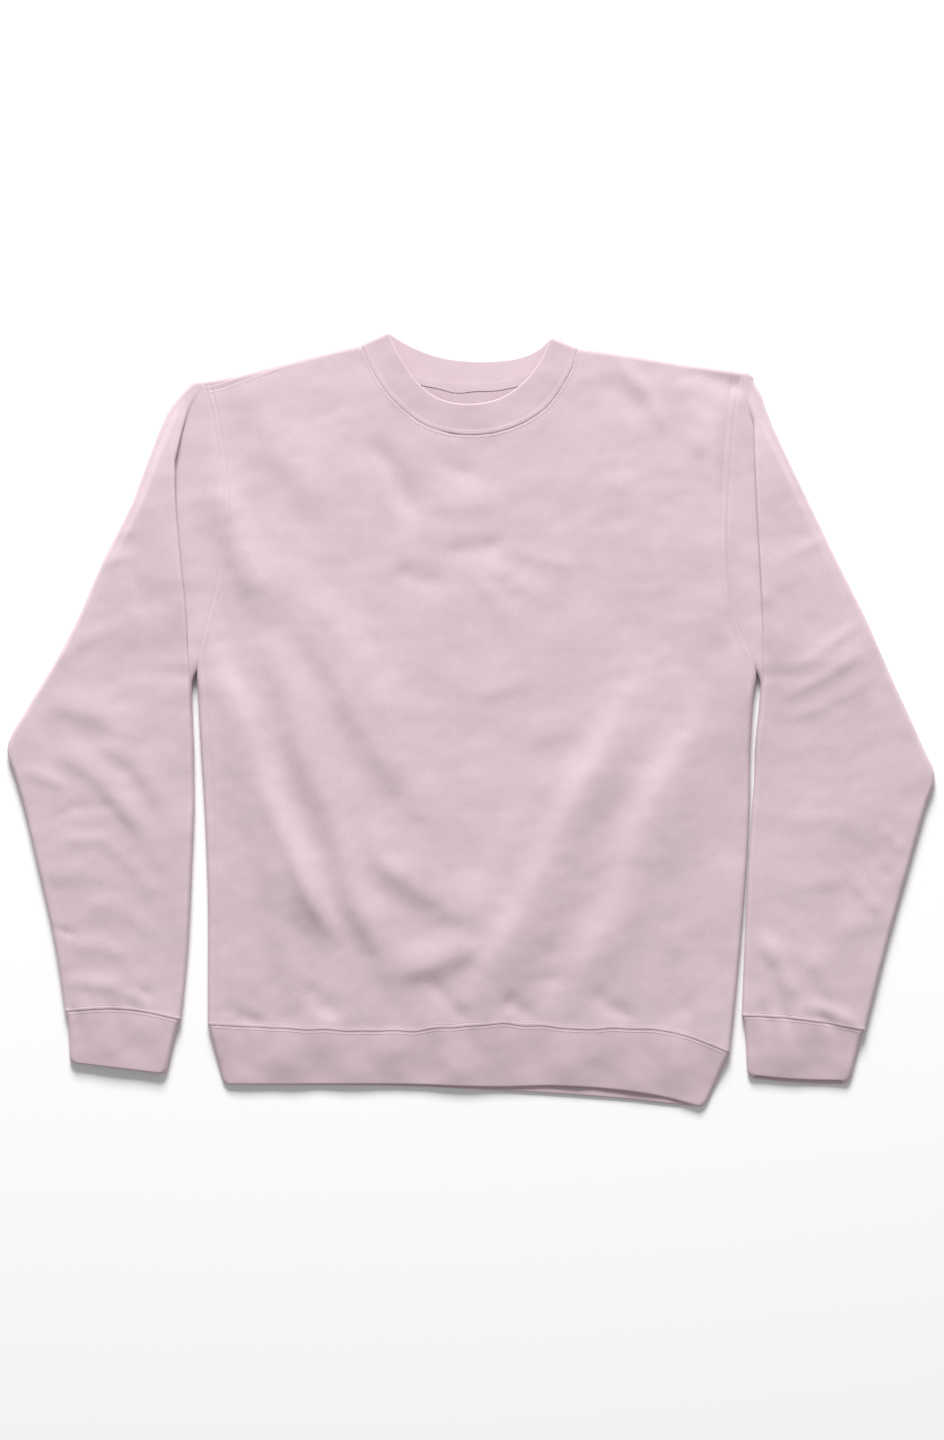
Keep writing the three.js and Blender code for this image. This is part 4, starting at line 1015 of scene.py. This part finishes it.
def collar_grid():
    down, half = free_edge_rows(COLLAR_DEPTH, COLLAR_STEP)
    arc = np.arange(8) / 8 * pi / 2
    end_front, end_back = EDGE / FRONT_NECK_LENGTH, EDGE / BACK_NECK_LENGTH
    front = np.linspace(end_front, 1 - end_front, COLLAR_FRONT_STEPS)
    back = np.linspace(1 - end_back, end_back, COLLAR_BACK_STEPS)
    share = concatenate([
        end_front * (1 - cos(arc)), front, 1 - end_front * (1 - cos(arc[::-1])),
        1 - end_back * (1 - cos(arc[1:])), back, end_back * (1 - cos(arc[:0:-1])),
    ])
    level = concatenate([
        sin(arc), np.ones(len(front)), sin(arc[::-1]),
        sin(arc[1:]), np.ones(len(back)), sin(arc[:0:-1]),
    ])
    is_front = concatenate([np.ones(len(arc) * 2 + len(front)), np.zeros(len(back) + 2 * (len(arc) - 1))])
    edges = {}
    for label, front_name, back_name in (("seam", "seam", "back"), ("rim", "rim", "top")):
        for axis in ("x", "y"):
            edges[label + axis] = np.where(is_front, read(NECK, share, f"{front_name}_{axis}"),
                                           read(NECK, share, f"{back_name}_{axis}"))
    rows = []
    for place in down:
        x = mix(edges["seamx"], edges["rimx"], place)
        y = mix(edges["seamy"], edges["rimy"], place)
        from_seam = place * COLLAR_DEPTH
        dents = COLLAR_DENTS * dent_waves(x, y)
        front = front_height(x, y) + seam_ridge(from_seam) + (COLLAR_RISE + dents) * place
        flat = np.where(is_front, front, LOW + BACK_NECK_LIFT * (1 - place))
        rows.append(np.stack([x, y, mix(MIDDLE, flat, level)], axis=-1))
    return np.stack(rows), half


grid, half = collar_grid()
collar = wall_object("collar_rib", grid, half, ring=True)
wear(collar, rib, "rib", "collar")

# Neck tape: a narrow twill tape that covers the back neck seam inside the garment. It is sewn on
# along the seam, and its lower edge lies a little wavy.
TAPE_WIDTH = 7
TAPE_HALF = 0.18
TAPE_CLEAR = 0.12
TAPE_ROWS = 8


def tape_grid():
    share = np.linspace(0.1, 0.9, 90)
    x = read(NECK, share, "back_x")
    y = read(NECK, share, "back_y")
    rows = []
    for down in np.linspace(0, 1, TAPE_ROWS):
        wave = down * (0.7 * sin(x / 9) + 0.5 * sin(x / 5.2 + 1))
        z = LOW + WALL / 2 + TAPE_HALF + TAPE_CLEAR + back_lift(TAPE_WIDTH * down) + 0.1 * wave
        rows.append(np.stack([x, y - TAPE_WIDTH * down + wave, z], axis=-1))
    return np.stack(rows)


tape_cotton = fleece_material("pink_tape", (0.68, 0.55, 0.597, 1), (0.64, 0.508, 0.557, 1))
neck_tape = wall_object("neck_tape_cotton", tape_grid(), np.full(TAPE_ROWS, TAPE_HALF))
wear(neck_tape, tape_cotton, "tape", "neck_tape")

# Stitching: rows of cotton thread along the seams, two on each, as a coverstitch machine leaves.
# Every stitch is a small rounded grain that lies on the cloth.
STITCH_LENGTH = 0.0028
THREAD_RADIUS = 0.00028
STITCH_FILL = 0.42
NECK_ROWS = (2.6, -3.2)
BAND_ROWS = (3.2, -3)
ARMHOLE_ROWS = (1.9, TOPSTITCH_IN)
SHOULDER_ROWS = (-1.6, 3.6)

front_pieces = [front_panel, collar, hem_band] + [bpy.data.objects[name] for name in (
    "sleeve_left_cloth", "sleeve_right_cloth", "cuff_left_rib", "cuff_right_rib")]
graph = bpy.context.evaluated_depsgraph_get()
surfaces = [BVHTree.FromObject(piece, graph) for piece in front_pieces]
RAY_TOP = 0.1


def laid_row(x, y):
    """Points of the plan, in millimetres, brought down onto the cloth that shows there."""
    points = []
    for place in zip(x * MM, y * MM):
        hits = [surface.ray_cast((*place, RAY_TOP), (0, 0, -1))[0] for surface in surfaces]
        heights = [hit.z for hit in hits if hit]
        if heights:
            points.append((*place, max(heights) + THREAD_RADIUS / 3))
    return np.array(points)


def offset_row(x, y, distance):
    """A row beside a line of the plan, to its left."""
    along_x, along_y = np.gradient(x), np.gradient(y)
    length = np.hypot(along_x, along_y)
    return laid_row(x - distance * along_y / length, y + distance * along_x / length)


stitch_rows = []
share = np.linspace(0.03, 0.97, 150)
neck_x, neck_y = (read(NECK, share, "seam_" + axis) for axis in ("x", "y"))
stitch_rows += [offset_row(neck_x, neck_y, distance) for distance in NECK_ROWS]
share = np.linspace(0.01, 0.99, 240)
hem_x = mix(HEM_LEFT[0], HEM_RIGHT[0], share)
stitch_rows += [offset_row(hem_x, hem_seam(share, 1.0), distance) for distance in BAND_ROWS]
armhole_y = np.linspace(58, 306, 130)
for word, sign in (("left", 1), ("right", -1)):
    edge_x = read(BODY_EDGES, armhole_y, word)
    stitch_rows += [laid_row(edge_x + sign * inset, armhole_y) for inset in ARMHOLE_ROWS]
shoulder_x = np.linspace(SHOULDER_SEAM_X[0] + 3, SHOULDER_SEAM_X[-1], 40)
shoulder_y = np.interp(shoulder_x, SHOULDER_SEAM_X, SHOULDER_SEAM_Y)
stitch_rows += [laid_row(shoulder_x, shoulder_y + drop) for drop in SHOULDER_ROWS]
for limb in LIMBS:
    share = np.linspace(0.04, 0.96, 60)
    outer_x = arm_edge(limb, limb.seam_outer_y, "outer")
    inner_x = arm_edge(limb, limb.seam_inner_y, "fold")
    seam_y = mix(limb.seam_outer_y, limb.seam_inner_y, share) + limb.seam_bow * sin(pi * share)
    stitch_rows += [laid_row(mix(outer_x, inner_x, share), seam_y + rise) for rise in BAND_ROWS]

thread = new_material("pink_thread", Base_Color=(0.66, 0.524, 0.572, 1), Roughness=0.8)[0]


def stitch_group():
    """Geometry nodes that set small rounded stitches end to end along each line of points."""
    group = bpy.data.node_groups.new("stitch_rows", "GeometryNodeTree")
    interface = group.interface
    interface.new_socket("Geometry", in_out="INPUT", socket_type="NodeSocketGeometry")
    for label, value in (("Stitch Length", STITCH_LENGTH), ("Thread Radius", THREAD_RADIUS)):
        interface.new_socket(label, in_out="INPUT", socket_type="NodeSocketFloat").default_value = value
    interface.new_socket("Material", in_out="INPUT", socket_type="NodeSocketMaterial").default_value = thread
    interface.new_socket("Geometry", in_out="OUTPUT", socket_type="NodeSocketGeometry")
    nodes, links = group.nodes, group.links
    entry = nodes.new("NodeGroupInput")
    lines = nodes.new("GeometryNodeMeshToCurve")
    links.new(entry.outputs["Geometry"], lines.inputs["Mesh"])
    spaced = nodes.new("GeometryNodeResampleCurve")
    spaced.mode = "LENGTH"
    links.new(lines.outputs["Curve"], spaced.inputs["Curve"])
    links.new(entry.outputs["Stitch Length"], spaced.inputs["Length"])
    grain = nodes.new("GeometryNodeMeshUVSphere")
    set_inputs(grain, Segments=6, Rings=4, Radius=1)
    turn = nodes.new("FunctionNodeAlignRotationToVector")
    turn.axis = "X"
    links.new(nodes.new("GeometryNodeInputTangent").outputs[0], turn.inputs["Vector"])
    size = nodes.new("ShaderNodeCombineXYZ")
    reach = nodes.new("ShaderNodeMath")
    reach.operation = "MULTIPLY"
    reach.inputs[1].default_value = STITCH_FILL
    links.new(entry.outputs["Stitch Length"], reach.inputs[0])
    links.new(reach.outputs[0], size.inputs["X"])
    for axis in ("Y", "Z"):
        links.new(entry.outputs["Thread Radius"], size.inputs[axis])
    placed = nodes.new("GeometryNodeInstanceOnPoints")
    links.new(spaced.outputs["Curve"], placed.inputs["Points"])
    links.new(grain.outputs["Mesh"], placed.inputs["Instance"])
    links.new(turn.outputs["Rotation"], placed.inputs["Rotation"])
    links.new(size.outputs[0], placed.inputs["Scale"])
    real = nodes.new("GeometryNodeRealizeInstances")
    links.new(placed.outputs["Instances"], real.inputs["Geometry"])
    painted = nodes.new("GeometryNodeSetMaterial")
    links.new(real.outputs["Geometry"], painted.inputs["Geometry"])
    links.new(entry.outputs["Material"], painted.inputs["Material"])
    end = nodes.new("NodeGroupOutput")
    links.new(painted.outputs["Geometry"], end.inputs["Geometry"])
    return group


starts = np.cumsum([0] + [len(row) for row in stitch_rows])
edges = [(start + i, start + i + 1) for start, row in zip(starts, stitch_rows) for i in range(len(row) - 1)]
line_mesh = bpy.data.meshes.new("stitch_lines")
line_mesh.from_pydata(concatenate(stitch_rows).tolist(), edges, [])
stitching = add_object("seam_stitching", line_mesh)
sewing = stitching.modifiers.new("sewing", "NODES")
sewing.node_group = stitch_group()
graph = bpy.context.evaluated_depsgraph_get()
sewn = bpy.data.meshes.new_from_object(stitching.evaluated_get(graph))
stitching.modifiers.remove(sewing)
stitching.data = sewn
sewn.shade_smooth()
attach(stitching, "root")
